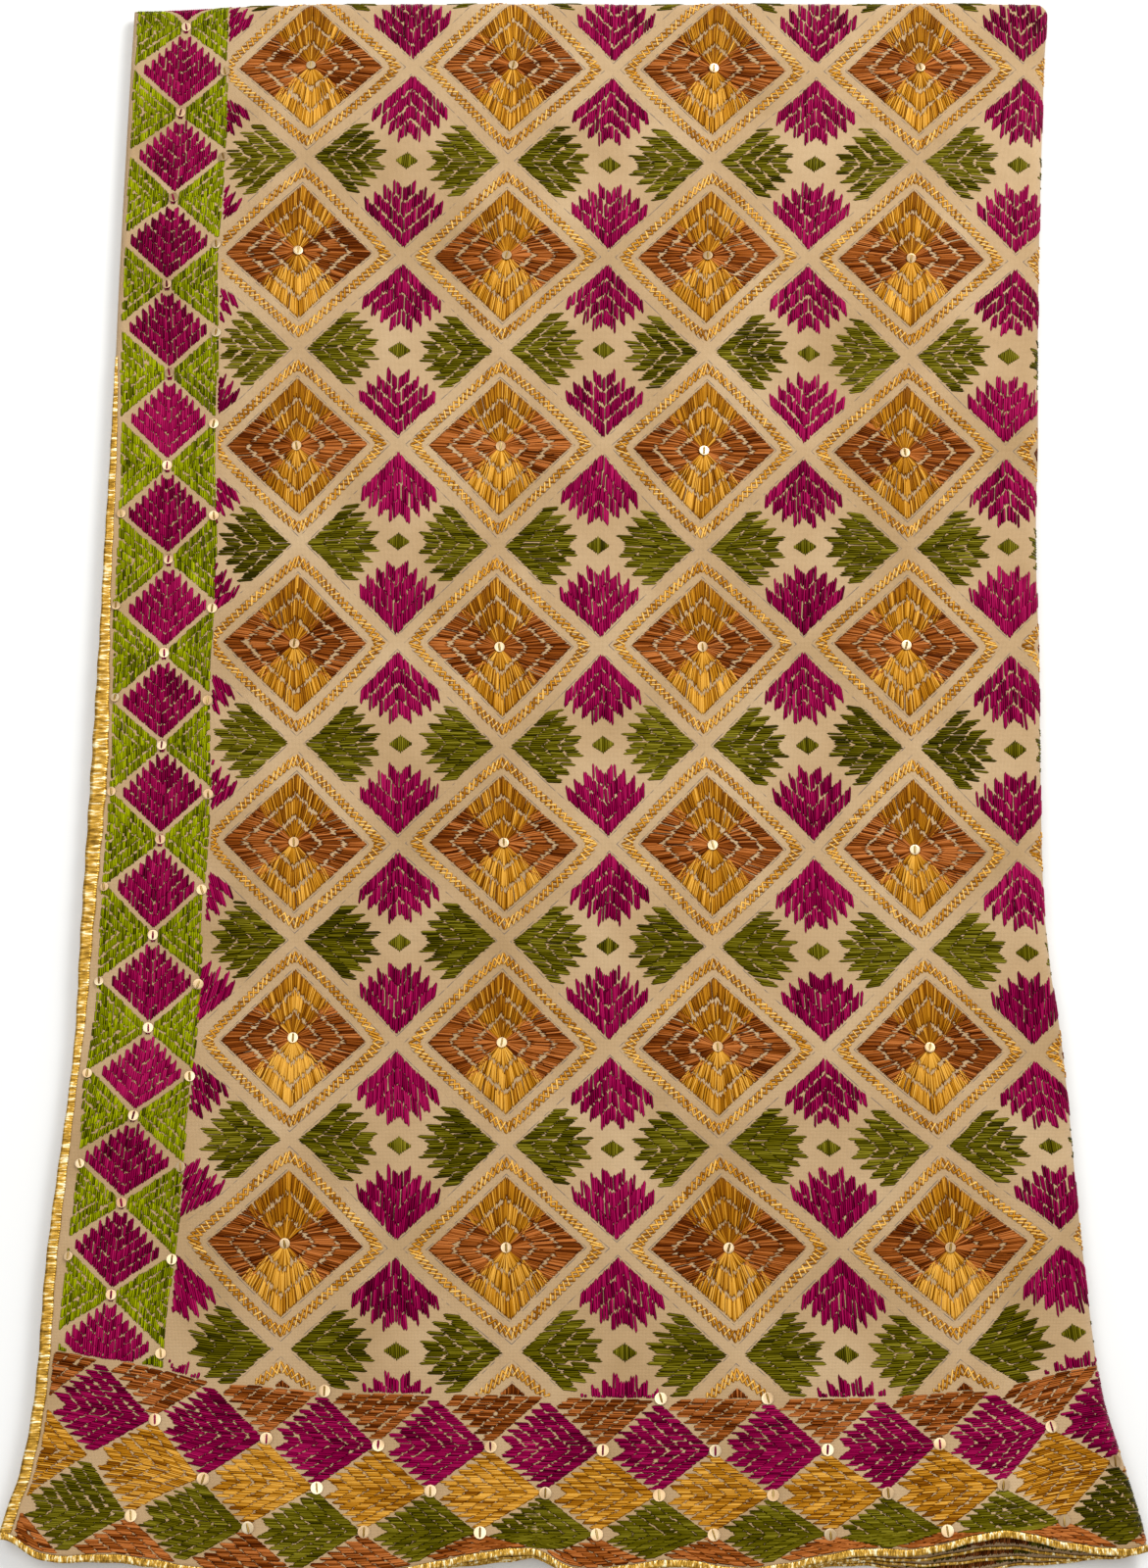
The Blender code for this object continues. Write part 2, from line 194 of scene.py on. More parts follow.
# Stitches, in metres
FLOSS_PITCH = 0.00108    # between neighbouring stitches
FLOSS_WIDTH = 0.00142
FINE_PITCH = 0.00094     # in the side border's green
FINE_WIDTH = 0.00122     # in the diamonds and the side border's green
FLOSS_HEIGHT = 0.00048
CELL = 0.110             # of cloth for one diamond
STRAY = 0.0008           # of the drawn lines from straight ones


def smooth_step(t):
    t = np.clip(t, 0.0, 1.0)
    return t * t * (3 - 2 * t)


def read_table(rows, columns, name, at, key):
    """The named column at each place, on a smooth curve through the table's rows."""
    table = np.array(sorted(rows, key=lambda row: row[columns.index(key)]))
    places, values = table[:, columns.index(key)], table[:, columns.index(name)]
    slopes = np.zeros(len(places))
    slopes[1:-1] = (values[2:] - values[:-2]) / (places[2:] - places[:-2])
    at = np.clip(np.asarray(at, float), places[0], places[-1])
    k = np.clip(np.searchsorted(places, at) - 1, 0, len(places) - 2)
    step = places[k + 1] - places[k]
    t = (at - places[k]) / step
    return (
        (1 + 2 * t) * (1 - t) ** 2 * values[k]
        + t * (1 - t) ** 2 * step * slopes[k]
        + t * t * (3 - 2 * t) * values[k + 1]
        + t * t * (t - 1) * step * slopes[k + 1]
    )


def section(y, name):
    return read_table(SECTIONS, SECTION_COLUMNS, name, y, "y")


def outline(y, side):
    """x of the cloth's outline on that side, in the scene's own places."""
    return section(y + MIDDLE_Y, side) - MIDDLE_X


def left_edge(y, name):
    return read_table(LEFT_EDGE, LEFT_EDGE_COLUMNS, name, y, "y")


def hem(x, name):
    return read_table(HEM, HEM_COLUMNS, name, x, "x")


def hem_line(x):
    """y of the top layer's hem, in the scene's own places."""
    return hem(x + MIDDLE_X, "reach") - MIDDLE_Y


def row_at(q, name):
    return read_table(ROWS, ROW_COLUMNS, name, q, "q")


def fold_height(x, y):
    """The soft folds, each a ridge or trough that fades at its ends."""
    total = 0.0
    for row in FOLDS:
        fold = dict(zip(FOLD_COLUMNS, row))
        turn = math.radians(fold["angle"])
        dx, dy = x - fold["x"], y - fold["y"]
        along = (dx * math.cos(turn) + dy * math.sin(turn)) / (fold["length"] / 2)
        aside = (dy * math.cos(turn) - dx * math.sin(turn)) / fold["width"]
        total = total + fold["height"] * np.exp(-along * along - aside * aside)
    return total


def puckers(x, y):
    """The small unevenness that dense stitches give the cotton between them."""
    found = np.empty(len(x))
    for k, (a, b) in enumerate(zip(x.tolist(), y.tolist())):
        wide = noise.noise(Vector((a * 26, b * 26, 1.7)))
        fine = noise.noise(Vector((a * 75, b * 75, 8.2)))
        found[k] = 0.00056 * wide + 0.00028 * fine
    return found


def top_height(x, y):
    """Height of the top layer's face over the floor, at the tables' own places."""
    left, right = section(y, "left"), section(y, "right")
    share = (x - left) / (right - left)
    crown, edge = section(y, "crown"), section(y, "edge")
    height = edge + (crown - edge) * smooth_step(share / 0.22)
    inside = smooth_step(share / 0.10) * smooth_step((1 - share) / 0.08)
    nose = smooth_step((NOSE_AXIS - y) / 0.05)
    wave = smooth_step(1 - (y - hem(x, "reach")) / LIFT_LENGTH) ** 1.5
    return height + fold_height(x, y) * inside * nose + hem(x, "lift") * wave


def place_on_cloth(x, y, out=0.0):
    """Points of the top layer's face, moved out from it. x and y run on round its two folds."""
    x, y = np.asarray(x, float) + MIDDLE_X, np.asarray(y, float) + MIDDLE_Y
    flat_y = np.minimum(y, NOSE_AXIS)
    start = section(flat_y, "right") - SIDE_CURL
    flat_x = np.minimum(x, start)
    top = top_height(flat_x, flat_y) - MID_HEIGHT + out
    round_fold = (SIDE_CURL + np.maximum(top, 0.001)) / 2
    side = np.clip((x - start) / round_fold, 0.0, math.pi / 2)
    across = flat_x + (SIDE_CURL + out) * np.sin(side)
    high = FOLD_END * np.sin(side) + top * np.cos(side)
    over = np.clip((y - NOSE_AXIS) / NOSE_ROUND, 0.0, math.radians(NOSE_TURN))
    along = flat_y + NOSE_STRETCH * high * np.sin(over)
    up = MID_HEIGHT + high * np.cos(over)
    return np.stack([across - MIDDLE_X, along - MIDDLE_Y, up], axis=1)


def on_cloth(x, y, out=0.0):
    """(points, normals) of the puckered cloth."""
    x, y = np.asarray(x, float), np.asarray(y, float)
    step = 0.0005
    point = place_on_cloth(x, y)
    to_right = place_on_cloth(x + step, y) - place_on_cloth(x - step, y)
    to_top = place_on_cloth(x, y + step) - place_on_cloth(x, y - step)
    normal = np.cross(to_right, to_top)
    normal /= np.maximum(np.linalg.norm(normal, axis=1, keepdims=True), 1e-12)
    lift = puckers(x, y) * edge_fade(x, y)
    return point + normal * (lift + out)[:, None], normal


def edge_fade(x, y):
    """0 at the cloth's outline and 1 a little way in, so that the puckers leave the outline alone."""
    left = (x - section(y, "left")) / 0.02
    right = (section(y, "right") - x) / 0.02
    return smooth_step(left) * smooth_step(right)


def field(p, q):
    """The place of a point of the field's chart, with the stray of the hand that drew it."""
    x = row_at(q, "first") + row_at(q, "pitch") * p
    rise = row_at(q, "rise") * read_table(RISES, RISE_COLUMNS, "share", x, "x")
    y = row_at(q, "y") + row_at(q, "skew") * p / 3 + rise
    x = x + STRAY * (np.sin(5.7 * q + 2.1 * p) + np.sin(2.4 * q - 1.7 * p + 1))
    y = y + STRAY * (np.sin(6.1 * p - 1.3 * q + 2) + np.sin(2.2 * p + 2.7 * q))
    return x, y


def end_line(x, r):
    """y of the end border's line r at x. The last one follows the hem."""
    share = read_table(RISES, RISE_COLUMNS, "share", x, "x")
    lines = [y + rise * share for _, y, rise in END_LINES]
    lines[-1] = hem_line(np.asarray(x)) + LACE_WIDTH * 0.4
    r = np.clip(np.broadcast_to(r, np.shape(x)), -0.4, 4.0)
    k = np.clip(np.floor(r).astype(int), 0, 3)
    stack = np.array([np.broadcast_to(line, np.shape(x)) for line in lines])
    columns = np.arange(stack.shape[1])
    low, high = stack[k, columns], stack[k + 1, columns]
    return low + (high - low) * (r - k)


class Floss:
    """Stitches of one silk: their two ends on the cloth, their tone and their width."""

    def __init__(self, name, colours, unevenness=0.20):
        self.name = name
        self.colours = colours
        self.unevenness = unevenness
        self.parts = []

    def add(self, x0, y0, x1, y1, tone=0.0, width=FLOSS_WIDTH, keep=None, inside=None):
        """inside gives how far a point is past the line where the stitches are cut off."""
        x0, y0, x1, y1 = (np.asarray(v, float) for v in (x0, y0, x1, y1))
        if inside is not None:
            d0, d1 = inside(x0, y0), inside(x1, y1)
            shown = (d0 > 0.0003) | (d1 > 0.0003)
            keep = shown if keep is None else keep & shown
            gap = np.where(np.abs(d0 - d1) < 1e-9, 1.0, d0 - d1)
            cut0 = np.where(d0 < 0, np.clip(d0 / gap, 0, 1), 0.0)
            cut1 = np.where(d1 < 0, np.clip(d0 / gap, 0, 1), 1.0)
            x0, y0, x1, y1 = (
                x0 + (x1 - x0) * cut0, y0 + (y1 - y0) * cut0,
                x0 + (x1 - x0) * cut1, y0 + (y1 - y0) * cut1,
            )
            keep &= np.hypot(x1 - x0, y1 - y0) > 0.0012
        tones = np.clip(0.5 + tone + RANDOM.normal(0, self.unevenness, len(x0)), 0, 1)
        widths = width * RANDOM.uniform(0.86, 1.12, len(x0))
        rows = np.stack([x0, y0, x1, y1, tones, widths], axis=1)
        self.parts.append(rows if keep is None else rows[keep])

    def rows(self):
        return np.concatenate(self.parts)


# Each silk's colours in shade, as dyed and where it shines, and how uneven its stitches' tones are
MAGENTA = Floss("magenta_floss", ("#46001A", "#82003A", "#AC1856"), 0.16)
GREEN = Floss("green_floss", ("#282400", "#564E00", "#867C20"), 0.17)
LIME = Floss("lime_floss", ("#363800", "#7A8000", "#A6AE08"))
GOLD = Floss("gold_floss", ("#743E00", "#B47610", "#E4AC48"), 0.26)
BRAID = Floss("gold_braid_floss", ("#8A5000", "#CC8A1E", "#F4C468"), 0.26)
BROWN = Floss("brown_floss", ("#4E1C00", "#8A4612", "#BE7238"), 0.30)
THREAD = Floss("sequin_thread", ("#6E4E20", "#A8843C", "#D8BC7C"))
JOINT_THREAD = Floss("joint_thread", ("#46001A", "#800036", "#A81650"))
HEM_BROWN = ("#3A1600", "#6E3810", "#9C5E30")   # the silks of the lower hems, in their shadow
HEM_GREEN = ("#201E00", "#464006", "#70681E")


def top_of_end_border(x):
    return end_line(x, 0.0)


def on_top_layer(x, y):
    """How far a point lies from the ends of the top layer, round its folds, and from its left edge."""
    at = np.minimum(y + MIDDLE_Y, NOSE_AXIS)
    right = section(at, "right") - MIDDLE_X - SIDE_CURL + CURL_LENGTH - 0.0003 - x
    left = x - section(at, "left") + MIDDLE_X - 0.0016
    return np.minimum(np.minimum(left, right), NOSE_AXIS + 0.0165 - y)


def over_end_border(x, y):
    return np.minimum(y - top_of_end_border(x), on_top_layer(x, y))


def in_end_border(x, y):
    """How far a point lies inside the end border."""
    beside_lace = x - outline(y, "left") - 0.0062
    over_hem = y - hem_line(x) - 0.0030
    return np.minimum(np.minimum(beside_lace, over_hem), on_top_layer(x, y))


def in_field(x, y):
    """How far a point lies inside the field."""
    q = (row_at(0, "y") - y) / CELL
    for _ in range(3):
        q = q + (row_at(q, "y") - y) / CELL
    p = (x - row_at(q, "first")) / row_at(q, "pitch")
    side = (p - row_at(q, "inner")) * CELL - 0.0004
    return np.minimum(over_end_border(x, y), side)


def jitter(count, size):
    return RANDOM.normal(0, size, count)


def chevrons(half_widths, depth, pitch, slope, overlap, loose):
    """Stitches of nested chevrons: (start, end) along the axis from the outer tip, and b across."""
    starts, ends, sides = [], [], []
    for k, half in enumerate(half_widths):
        count = max(2, round(2 * half / pitch))
        b = (np.arange(count) + 0.5) / count * 2 * half - half
        b = b + jitter(count, pitch * 0.12)
        start = k * depth + np.abs(b) * slope
        starts.append(start - depth * (overlap + jitter(count, loose)) * (1.0 if k else 0.4))
        ends.append(start + depth * (1 + overlap + jitter(count, loose)))
        sides.append(b)
    return np.concatenate(starts), np.concatenate(ends), np.concatenate(sides)


LEAF_TIP = 0.463         # of a leaf from its cell's middle, as a share of the pitch
LEAF_HALVES = (0.185, 0.142, 0.097, 0.051)
LEAF_BAND = 0.080
LEAF_FAN = 0.6           # how much its stitches spread towards the teeth
LEAF_LEAN = 0.0019       # how far a stitch's end strays aside
LEAF_SLANT = 0.24        # of the half leaves beside the side border, away from it


def field_leaf(p, q, right, down, silk):
    """One leaf of the field, its tip towards (right, down) and its teeth towards the cell's middle."""
    overlap = RANDOM.uniform(0.01, 0.06) if q < 2 else RANDOM.uniform(0.03, 0.11)
    start, end, b = chevrons(LEAF_HALVES, LEAF_BAND, FLOSS_PITCH / CELL, 1.0, overlap, 0.055)
    slant = LEAF_SLANT if right == 0 and p < 0 else 0.0
    ends = []
    for a, lean in ((start, jitter(len(b), LEAF_LEAN)), (end, jitter(len(b), LEAF_LEAN))):
        out, aside = LEAF_TIP - a, b * (1 + LEAF_FAN * (a - 0.2)) + lean
        across = right * out + down * aside + slant * (a - 0.17)
        ends.append((p + across, q + down * out + right * aside))
    (x0, y0), (x1, y1) = (field(p, q) for p, q in ends)
    silk.add(x0, y0, x1, y1, RANDOM.normal(0, 0.06), inside=in_field)


CELL_DIAMOND = (0.052, 0.046)   # half its width and height


def cell_diamond(p, q):
    """The small green diamond between four leaves."""
    half_p, half_q = CELL_DIAMOND
    count = round(2 * half_p / (FLOSS_PITCH / CELL))
    b = (np.arange(count) + 0.5) / count * 2 * half_p - half_p
    long = half_q * (1 - np.abs(b) / half_p) + 0.006
    (x0, y0), (x1, y1) = field(p + b, q - long), field(p + b, q + long)
    GREEN.add(x0, y0, x1, y1, 0.05, inside=in_field)


DIAMOND_ACROSS, DIAMOND_ALONG = 0.358, 0.356   # half-diagonals of a filled diamond
DIAMOND_RINGS = (0.045, 0.37, 0.69, 1.0)
RING_GAP = 0.0045        # from a ring's line to its stitches, where the cotton shows between rings
LOW_RING_GAP = -0.003    # in the two lowest rows, where the rings close up
FAN = 0.30               # 0 where stitches point at the middle, 1 where they lie parallel
KITE_ACROSS = 0.0594     # of cloth for the stitches of a kite's outer ring
KITE_SPREAD = 1.03       # of a kite's half width that they cover
# Painted shade and sheen on each kite of the diamonds, by how the light falls on its stitches: the upper
# kites darkest, the side ones a little dark, the lower ones lightest.
UPPER_KITE_PAINTED_SHADE, SIDE_KITE_PAINTED_SHADE, LOWER_KITE_PAINTED_LIGHT = -0.26, -0.08, 0.0
NEAR_LOWER_PAINTED_SHEEN = 0.12   # painted sheen of the lower kites from the sixth row on


def filled_diamond(i, j):
    """A diamond of four kites, gold above and below, brown at the sides, in three rings."""
    for right, down in ((0, -1), (1, 0), (0, 1), (-1, 0)):
        silk = BROWN if right or (j == 7 and down == -1) else GOLD
        lower = NEAR_LOWER_PAINTED_SHEEN if j > 4 else LOWER_KITE_PAINTED_LIGHT
        # The kite's painted shade and sheen, with a little random tone on top.
        painted_sheen_and_tone = RANDOM.normal({-1: UPPER_KITE_PAINTED_SHADE, 0: SIDE_KITE_PAINTED_SHADE, 1: lower}[down], 0.06)
        gap = RING_GAP if j < 6 else LOW_RING_GAP
        for low, high in zip(DIAMOND_RINGS, DIAMOND_RINGS[1:]):
            count = max(9, round(KITE_ACROSS * high / FINE_PITCH))
            s = ((np.arange(count) + 0.5) / count * 2 - 1) * KITE_SPREAD
            s = s + jitter(count, 0.5 / count)
            inner = s * (1 + FAN * (high / max(low, 0.3) - 1)) + jitter(count, 0.9 / count)
            inner = np.clip(inner, -1.10, 1.10)
            ends = []
            for r, side, inwards in ((low, inner, gap), (high, s, -gap)):
                r = r + (inwards + jitter(count, 0.024)) * (r < 1)
                out, aside = r * (1 - np.abs(side) / 2), r * side / 2
                ends.append((
                    i + DIAMOND_ACROSS * (right * out + down * aside),
                    j + DIAMOND_ALONG * (down * out + right * aside),
                ))
            (x0, y0), (x1, y1) = (field(p, q) for p, q in ends)
            silk.add(x0, y0, x1, y1, painted_sheen_and_tone, width=FINE_WIDTH, inside=in_field)


BRAID_OUTER, BRAID_INNER = 0.4690, 0.403
BRAID_BLUNT = 0.022      # how far its corners are rounded off
BRAID_STEPS = 20


def braid(i, j):
    """The herringbone band round a diamond: crossed stitches along its four sides."""
    corners = ((0, -1), (1, 0), (0, 1), (-1, 0))
    for k in range(4):
        (p0, q0), (p1, q1) = corners[k], corners[(k + 1) % 4]
        s = np.arange(BRAID_STEPS) / BRAID_STEPS
        # The two slants of one silk: painted shade darkens the first slant and painted sheen lightens
        # the second.
        for r_from, r_to, tone in (
            (BRAID_OUTER, BRAID_INNER, -0.30), (BRAID_INNER, BRAID_OUTER, 0.20)
        ):
            near, far = s + jitter(len(s), 0.003), s + 1.35 / BRAID_STEPS + jitter(len(s), 0.003)
            ends = []
            for r, t in ((r_from, near), (r_to, far)):
                t = np.clip(t, 0, 1)
                r = r - BRAID_BLUNT * np.abs(2 * t - 1) ** 6
                ends.append((i + r * (p0 + (p1 - p0) * t), j + r * (q0 + (q1 - q0) * t)))
            (x0, y0), (x1, y1) = (field(p, q) for p, q in ends)
            BRAID.add(x0, y0, x1, y1, tone, width=0.00128, inside=in_field)


def stitch_field():
    """All the diamonds of the field, and the leaves in the cells between them."""
    for j in range(8):
        for i in range(5):
            filled_diamond(i, j)
            braid(i, j)
    for j in range(-1, 7):
        for i in range(-1, 4):
            p, q = i + 0.5, j + 0.5
            if i >= 0:
                cell_diamond(p, q)
            field_leaf(p, q, 0, -1, MAGENTA)
            field_leaf(p, q, 0, 1, MAGENTA)
            field_leaf(p, q, 1, 0, GREEN)
            field_leaf(p, q, -1, 0, GREEN)


SIDE_HALF = 0.188        # half the side diamonds' width, in p
SIDE_HALF_TALL = 0.178   # of the V at their lower end, in q
SIDE_BAND = 0.0612       # depth of one chevron
SIDE_BANDS = 6
SIDE_TIP = 0.028         # from a joint up to the tip over it
SIDE_GAP = 0.026         # between a diamond and the green beside it
SIDE_KNOT = (-0.007, 0.0, 0.007)   # the three stitches that join two diamonds, in p
GREEN_STITCH = 0.054
# Above and below a joint: which way the green runs, where the diamond's tip is, and its side's slope
GREEN_EDGES = ((-1, SIDE_TIP, 0.947), (1, -0.045, -0.855))


def left_of_stitches(y):
    """x where the side border's green starts: by the lace, or at the rolled edge above it."""
    return outline(y, "left") + left_edge(y, "stitches")


def side_place(b, q):
    return field(row_at(q, "centre") + b, q)


def side_border():
    """Its magenta diamonds from the top down, with the green and the knot at each joint."""
    halves = [SIDE_HALF * (1 - k / SIDE_BANDS) for k in range(SIDE_BANDS)]
    for m in range(-2, 16):
        joint = SIDE_START + SIDE_PITCH * m
        start, end, b = chevrons(
            halves, SIDE_BAND, FLOSS_PITCH / CELL, SIDE_HALF_TALL / SIDE_HALF, 0.075, 0.06
        )
        tip = joint - SIDE_TIP
        (x0, y0), (x1, y1) = side_place(b, tip - start), side_place(b, tip - end)
        keep = x0 > left_of_stitches(y0)
        MAGENTA.add(x0, y0, x1, y1, RANDOM.normal(0, 0.06), keep=keep, inside=over_end_border)
        green_beside(joint)
        knot = np.array(SIDE_KNOT)
        (x0, y0), (x1, y1) = side_place(knot, joint - 0.030), side_place(knot, joint + 0.044)
        MAGENTA.add(x0, y0, x1, y1, -0.1, width=0.0010, inside=over_end_border)


def green_beside(joint):
    """The green on both sides of a joint, in rows that slant with the diamonds' sides."""
    pitch = FINE_PITCH / CELL
    for side in (-1, 1):
        for sign, tip, slope in GREEN_EDGES:
            b = np.arange(0.030, 0.42, pitch)
            b = b + jitter(len(b), pitch * 0.12)
            edge = tip + slope * b if sign < 0 else -tip - slope * b
            reach = edge - SIDE_GAP
            wide = b > SIDE_HALF + 0.012
            reach = np.where(wide, np.minimum(reach, SIDE_PITCH / 2), np.minimum(reach, 0.215))
            for k in range(5):
                high = reach - k * GREEN_STITCH
                low = np.maximum(high - GREEN_STITCH * RANDOM.uniform(0.93, 1.12, len(b)), -0.01)
                ok = high - low > 0.018
                across = side * b[ok]
                q0 = joint + sign * (high[ok] + jitter(ok.sum(), 0.006 if k else 0.003))
                q1 = joint + sign * (low[ok] + jitter(ok.sum(), 0.004))
                (x0, y0), (x1, y1) = side_place(across, q0), side_place(across, q1)
                keep = row_at(q0, "centre") + across < row_at(q0, "inner") - 0.003
                keep &= x0 > left_of_stitches(y0)
                LIME.add(x0, y0, x1, y1, width=FINE_WIDTH, keep=keep, inside=over_end_border)


END_BANDS = 6
END_HALF = 0.945         # half the end diamonds' height, in border lines
END_ACROSS = 0.480       # half their width, as a share of the pitch
END_REACH = 1.92         # of that half width that the chevrons cover
# How far the lower lines drift aside from the magenta row: a share of x, and a length
END_DRIFT = ((1, 2, 3, 4), (0.0, 0.0126, 0.0300, 0.0400), (0.0, 0.0007, 0.0035, 0.0055))


def end_shift(r, x):
    """How far the border's line r has drifted aside at x."""
    lines, shares, lengths = END_DRIFT
    return np.interp(r, lines, shares) * x - np.interp(r, lines, lengths)


def end_diamond(x, r, silk):
    """One diamond of the end border, its tip to the right and its teeth to the left."""
    half = END_PITCH * END_ACROSS
    depth = END_REACH * half / (END_BANDS + 1)
    halves = [half - (k + 0.55) * depth / 2 for k in range(END_BANDS)]
    start, end, b = chevrons(halves, depth, FLOSS_PITCH * 0.92, 1.0, 0.04, 0.075)
    rows = r + b / half * END_HALF
    x0, x1 = x + half - start, x + half - end
    x0, x1 = x0 + end_shift(rows, x0), x1 + end_shift(rows, x1)
    y0, y1 = end_line(x0, rows), end_line(x1, rows)
    keep = (rows > 0.02) & (rows < 4.0)
    silk.add(x0, y0, x1, y1, RANDOM.normal(0, 0.05), width=0.00118, keep=keep, inside=in_end_border)


def end_border():
    rows = ((0, 0.5, BROWN), (1, 0.0, MAGENTA), (2, 0.5, GOLD), (3, 0.0, GREEN), (4, 0.5, BROWN))
    for r, shift, silk in rows:
        for k in range(-3, 10):
            end_diamond(END_START + END_PITCH * (k + 0.5 + shift), r, silk)


def mesh_piece(name, points, triangles, material, uv=None, tone=None, smooth=True):
    """A mesh object from arrays, with its bake map and the tone of each point."""
    mesh = bpy.data.meshes.new(name)
    mesh.vertices.add(len(points))
    mesh.vertices.foreach_set("co", np.asarray(points, np.float32).ravel())
    mesh.loops.add(triangles.size)
    mesh.loops.foreach_set("vertex_index", triangles.ravel().astype(np.int32))
    mesh.polygons.add(len(triangles))
    mesh.polygons.foreach_set("loop_start", np.arange(0, triangles.size, 3, dtype=np.int32))
    mesh.polygons.foreach_set("use_smooth", np.full(len(triangles), smooth))
    mesh.update(calc_edges=True)
    if tone is not None:
        layer = mesh.attributes.new("tone", "FLOAT", "POINT")
        layer.data.foreach_set("value", tone.astype(np.float32))
    if uv is not None:
        plan = mesh.uv_layers.new(name="OFBake")
        plan.data.foreach_set("uv", uv[triangles.ravel()].astype(np.float32).ravel())
    mesh.materials.append(material)
    obj = bpy.data.objects.new(name, mesh)
    bpy.context.scene.collection.objects.link(obj)
    return obj


def plan_map(points):
    """The bake map: the shawl seen from above."""
    low, high = np.array(CAD_LOW)[:2], np.array(CAD_HIGH)[:2]
    return (points[:, :2] - low) / (high - low).max()


# Rings of three points lie round a stitch between its two tips, at these shares of its length.
STRAIGHT_RINGS = (0.17, 0.83)
CURVED_RINGS = (0.12, 0.32, 0.50, 0.68, 0.88)
# Painted shade and highlight on every stitch, added to its tone: its two sides and its tips darker, its
# crest lighter.
RING_PAINTED_SHADE_AND_HIGHLIGHT = (-0.30, 0.12, -0.30)
TIP_PAINTED_SHADE = -0.14


def ring_triangles(rings):
    """The faces of one stitch: point 0 is its first tip and the last point its other one."""
    faces = [(0, k + 1, (k + 1) % 3 + 1) for k in range(3)]
    for n in range(rings - 1):
        for k in range(3):
            here, beside = n * 3 + k + 1, n * 3 + (k + 1) % 3 + 1
            faces += [(here, here + 3, beside), (beside, here + 3, beside + 3)]
    last = rings * 3 + 1
    faces += [(last, last - 3 + (k + 1) % 3, last - 3 + k) for k in range(3)]
    return np.array(faces)


def on_a_fold(rows):
    """Which stitches lie on the right fold or on the top one, where they have to curve."""
    x, y = np.maximum(rows[:, 0], rows[:, 2]), np.maximum(rows[:, 1], rows[:, 3])
    bend = section(np.minimum(y + MIDDLE_Y, NOSE_AXIS), "right") - MIDDLE_X - SIDE_CURL
    return (x > bend - 0.001) | (y > NOSE_AXIS - MIDDLE_Y - 0.001)


def threads(rows, places, out, on_cloth=on_cloth):
    """(points, triangles, tones) of stitches that rise from the cloth and go back into it."""
    x0, y0, x1, y1, tone, width = rows.T
    start, up0 = on_cloth(x0, y0, out)
    end, up1 = on_cloth(x1, y1, out)
    along = end - start
    along = along / np.maximum(np.linalg.norm(along, axis=1, keepdims=True), 1e-9)
    half = (width / 2)[:, None]
    rise = FLOSS_HEIGHT * RANDOM.uniform(0.88, 1.12, (len(rows), 1))
    lean = RANDOM.normal(0, 0.12, (len(rows), 1)) * half
    # Each point's tone gets painted shade at the tips and sides and a painted highlight on the crest.
    corners, painted_shades = [start - up0 * 0.0001], [TIP_PAINTED_SHADE]
    for t in places:
        if places is STRAIGHT_RINGS:
            middle, up = start + (end - start) * t, up0 + up1
        else:
            middle, up = on_cloth(x0 + (x1 - x0) * t, y0 + (y1 - y0) * t, out)
        up = up - along * (up * along).sum(axis=1, keepdims=True)
        up /= np.maximum(np.linalg.norm(up, axis=1, keepdims=True), 1e-9)
        side = np.cross(along, up)
        middle = middle + side * lean
        corners += [
            middle - side * half + up * 0.00006,
            middle + up * rise,
            middle + side * half + up * 0.00006,
        ]
        painted_shades += RING_PAINTED_SHADE_AND_HIGHLIGHT
    corners.append(end - up1 * 0.0001)
    painted_shades.append(TIP_PAINTED_SHADE)
    around = len(corners)
    faces = np.arange(len(rows))[:, None, None] * around + ring_triangles(len(places))
    points = np.stack(corners, axis=1).reshape(-1, 3)
    return points, faces.reshape(-1, 3), (tone[:, None] + np.array([painted_shades])).ravel()


def floss_piece(silk, out=0.0):
    """All the stitches of one silk as one mesh."""
    material = floss_silk(silk.name + "_silk", *silk.colours)
    rows = silk.rows()
    folded = on_a_fold(rows)
    points, faces, tones = threads(rows[~folded], STRAIGHT_RINGS, out)
    if folded.any():
        more, more_faces, more_tones = threads(rows[folded], CURVED_RINGS, out)
        faces = np.concatenate([faces, more_faces + len(points)])
        points, tones = np.concatenate([points, more]), np.concatenate([tones, more_tones])
    return mesh_piece(silk.name, points, faces, material, plan_map(points), tones)


def srgb(code):
    """A linear colour from a hex sRGB one."""
    levels = [int(code[k:k + 2], 16) / 255 for k in (1, 3, 5)]
    linear = [v / 12.92 if v <= 0.04045 else ((v + 0.055) / 1.055) ** 2.4 for v in levels]
    return (*linear, 1.0)


def node(tree, kind, settings=None, links=None, stops=()):
    """Adds a node, sets its values by name, links its inputs and gives a ramp its colours."""
    made = tree.nodes.new("ShaderNode" + kind)
    for name, value in (settings or {}).items():
        if isinstance(name, int) or name in made.inputs:
            made.inputs[name].default_value = value
        else:
            setattr(made, name, value)
    for name, source in (links or {}).items():
        tree.links.new(source, made.inputs[name])
    for k, (place, code) in enumerate(stops):
        band = made.color_ramp.elements
        element = band[k] if k < len(band) else band.new(place)
        element.position, element.color = place, srgb(code)
    return made


def blank_material(name):
    material = bpy.data.materials.new(name)
    material.use_nodes = True
    return material, material.node_tree, material.node_tree.nodes["Principled BSDF"]


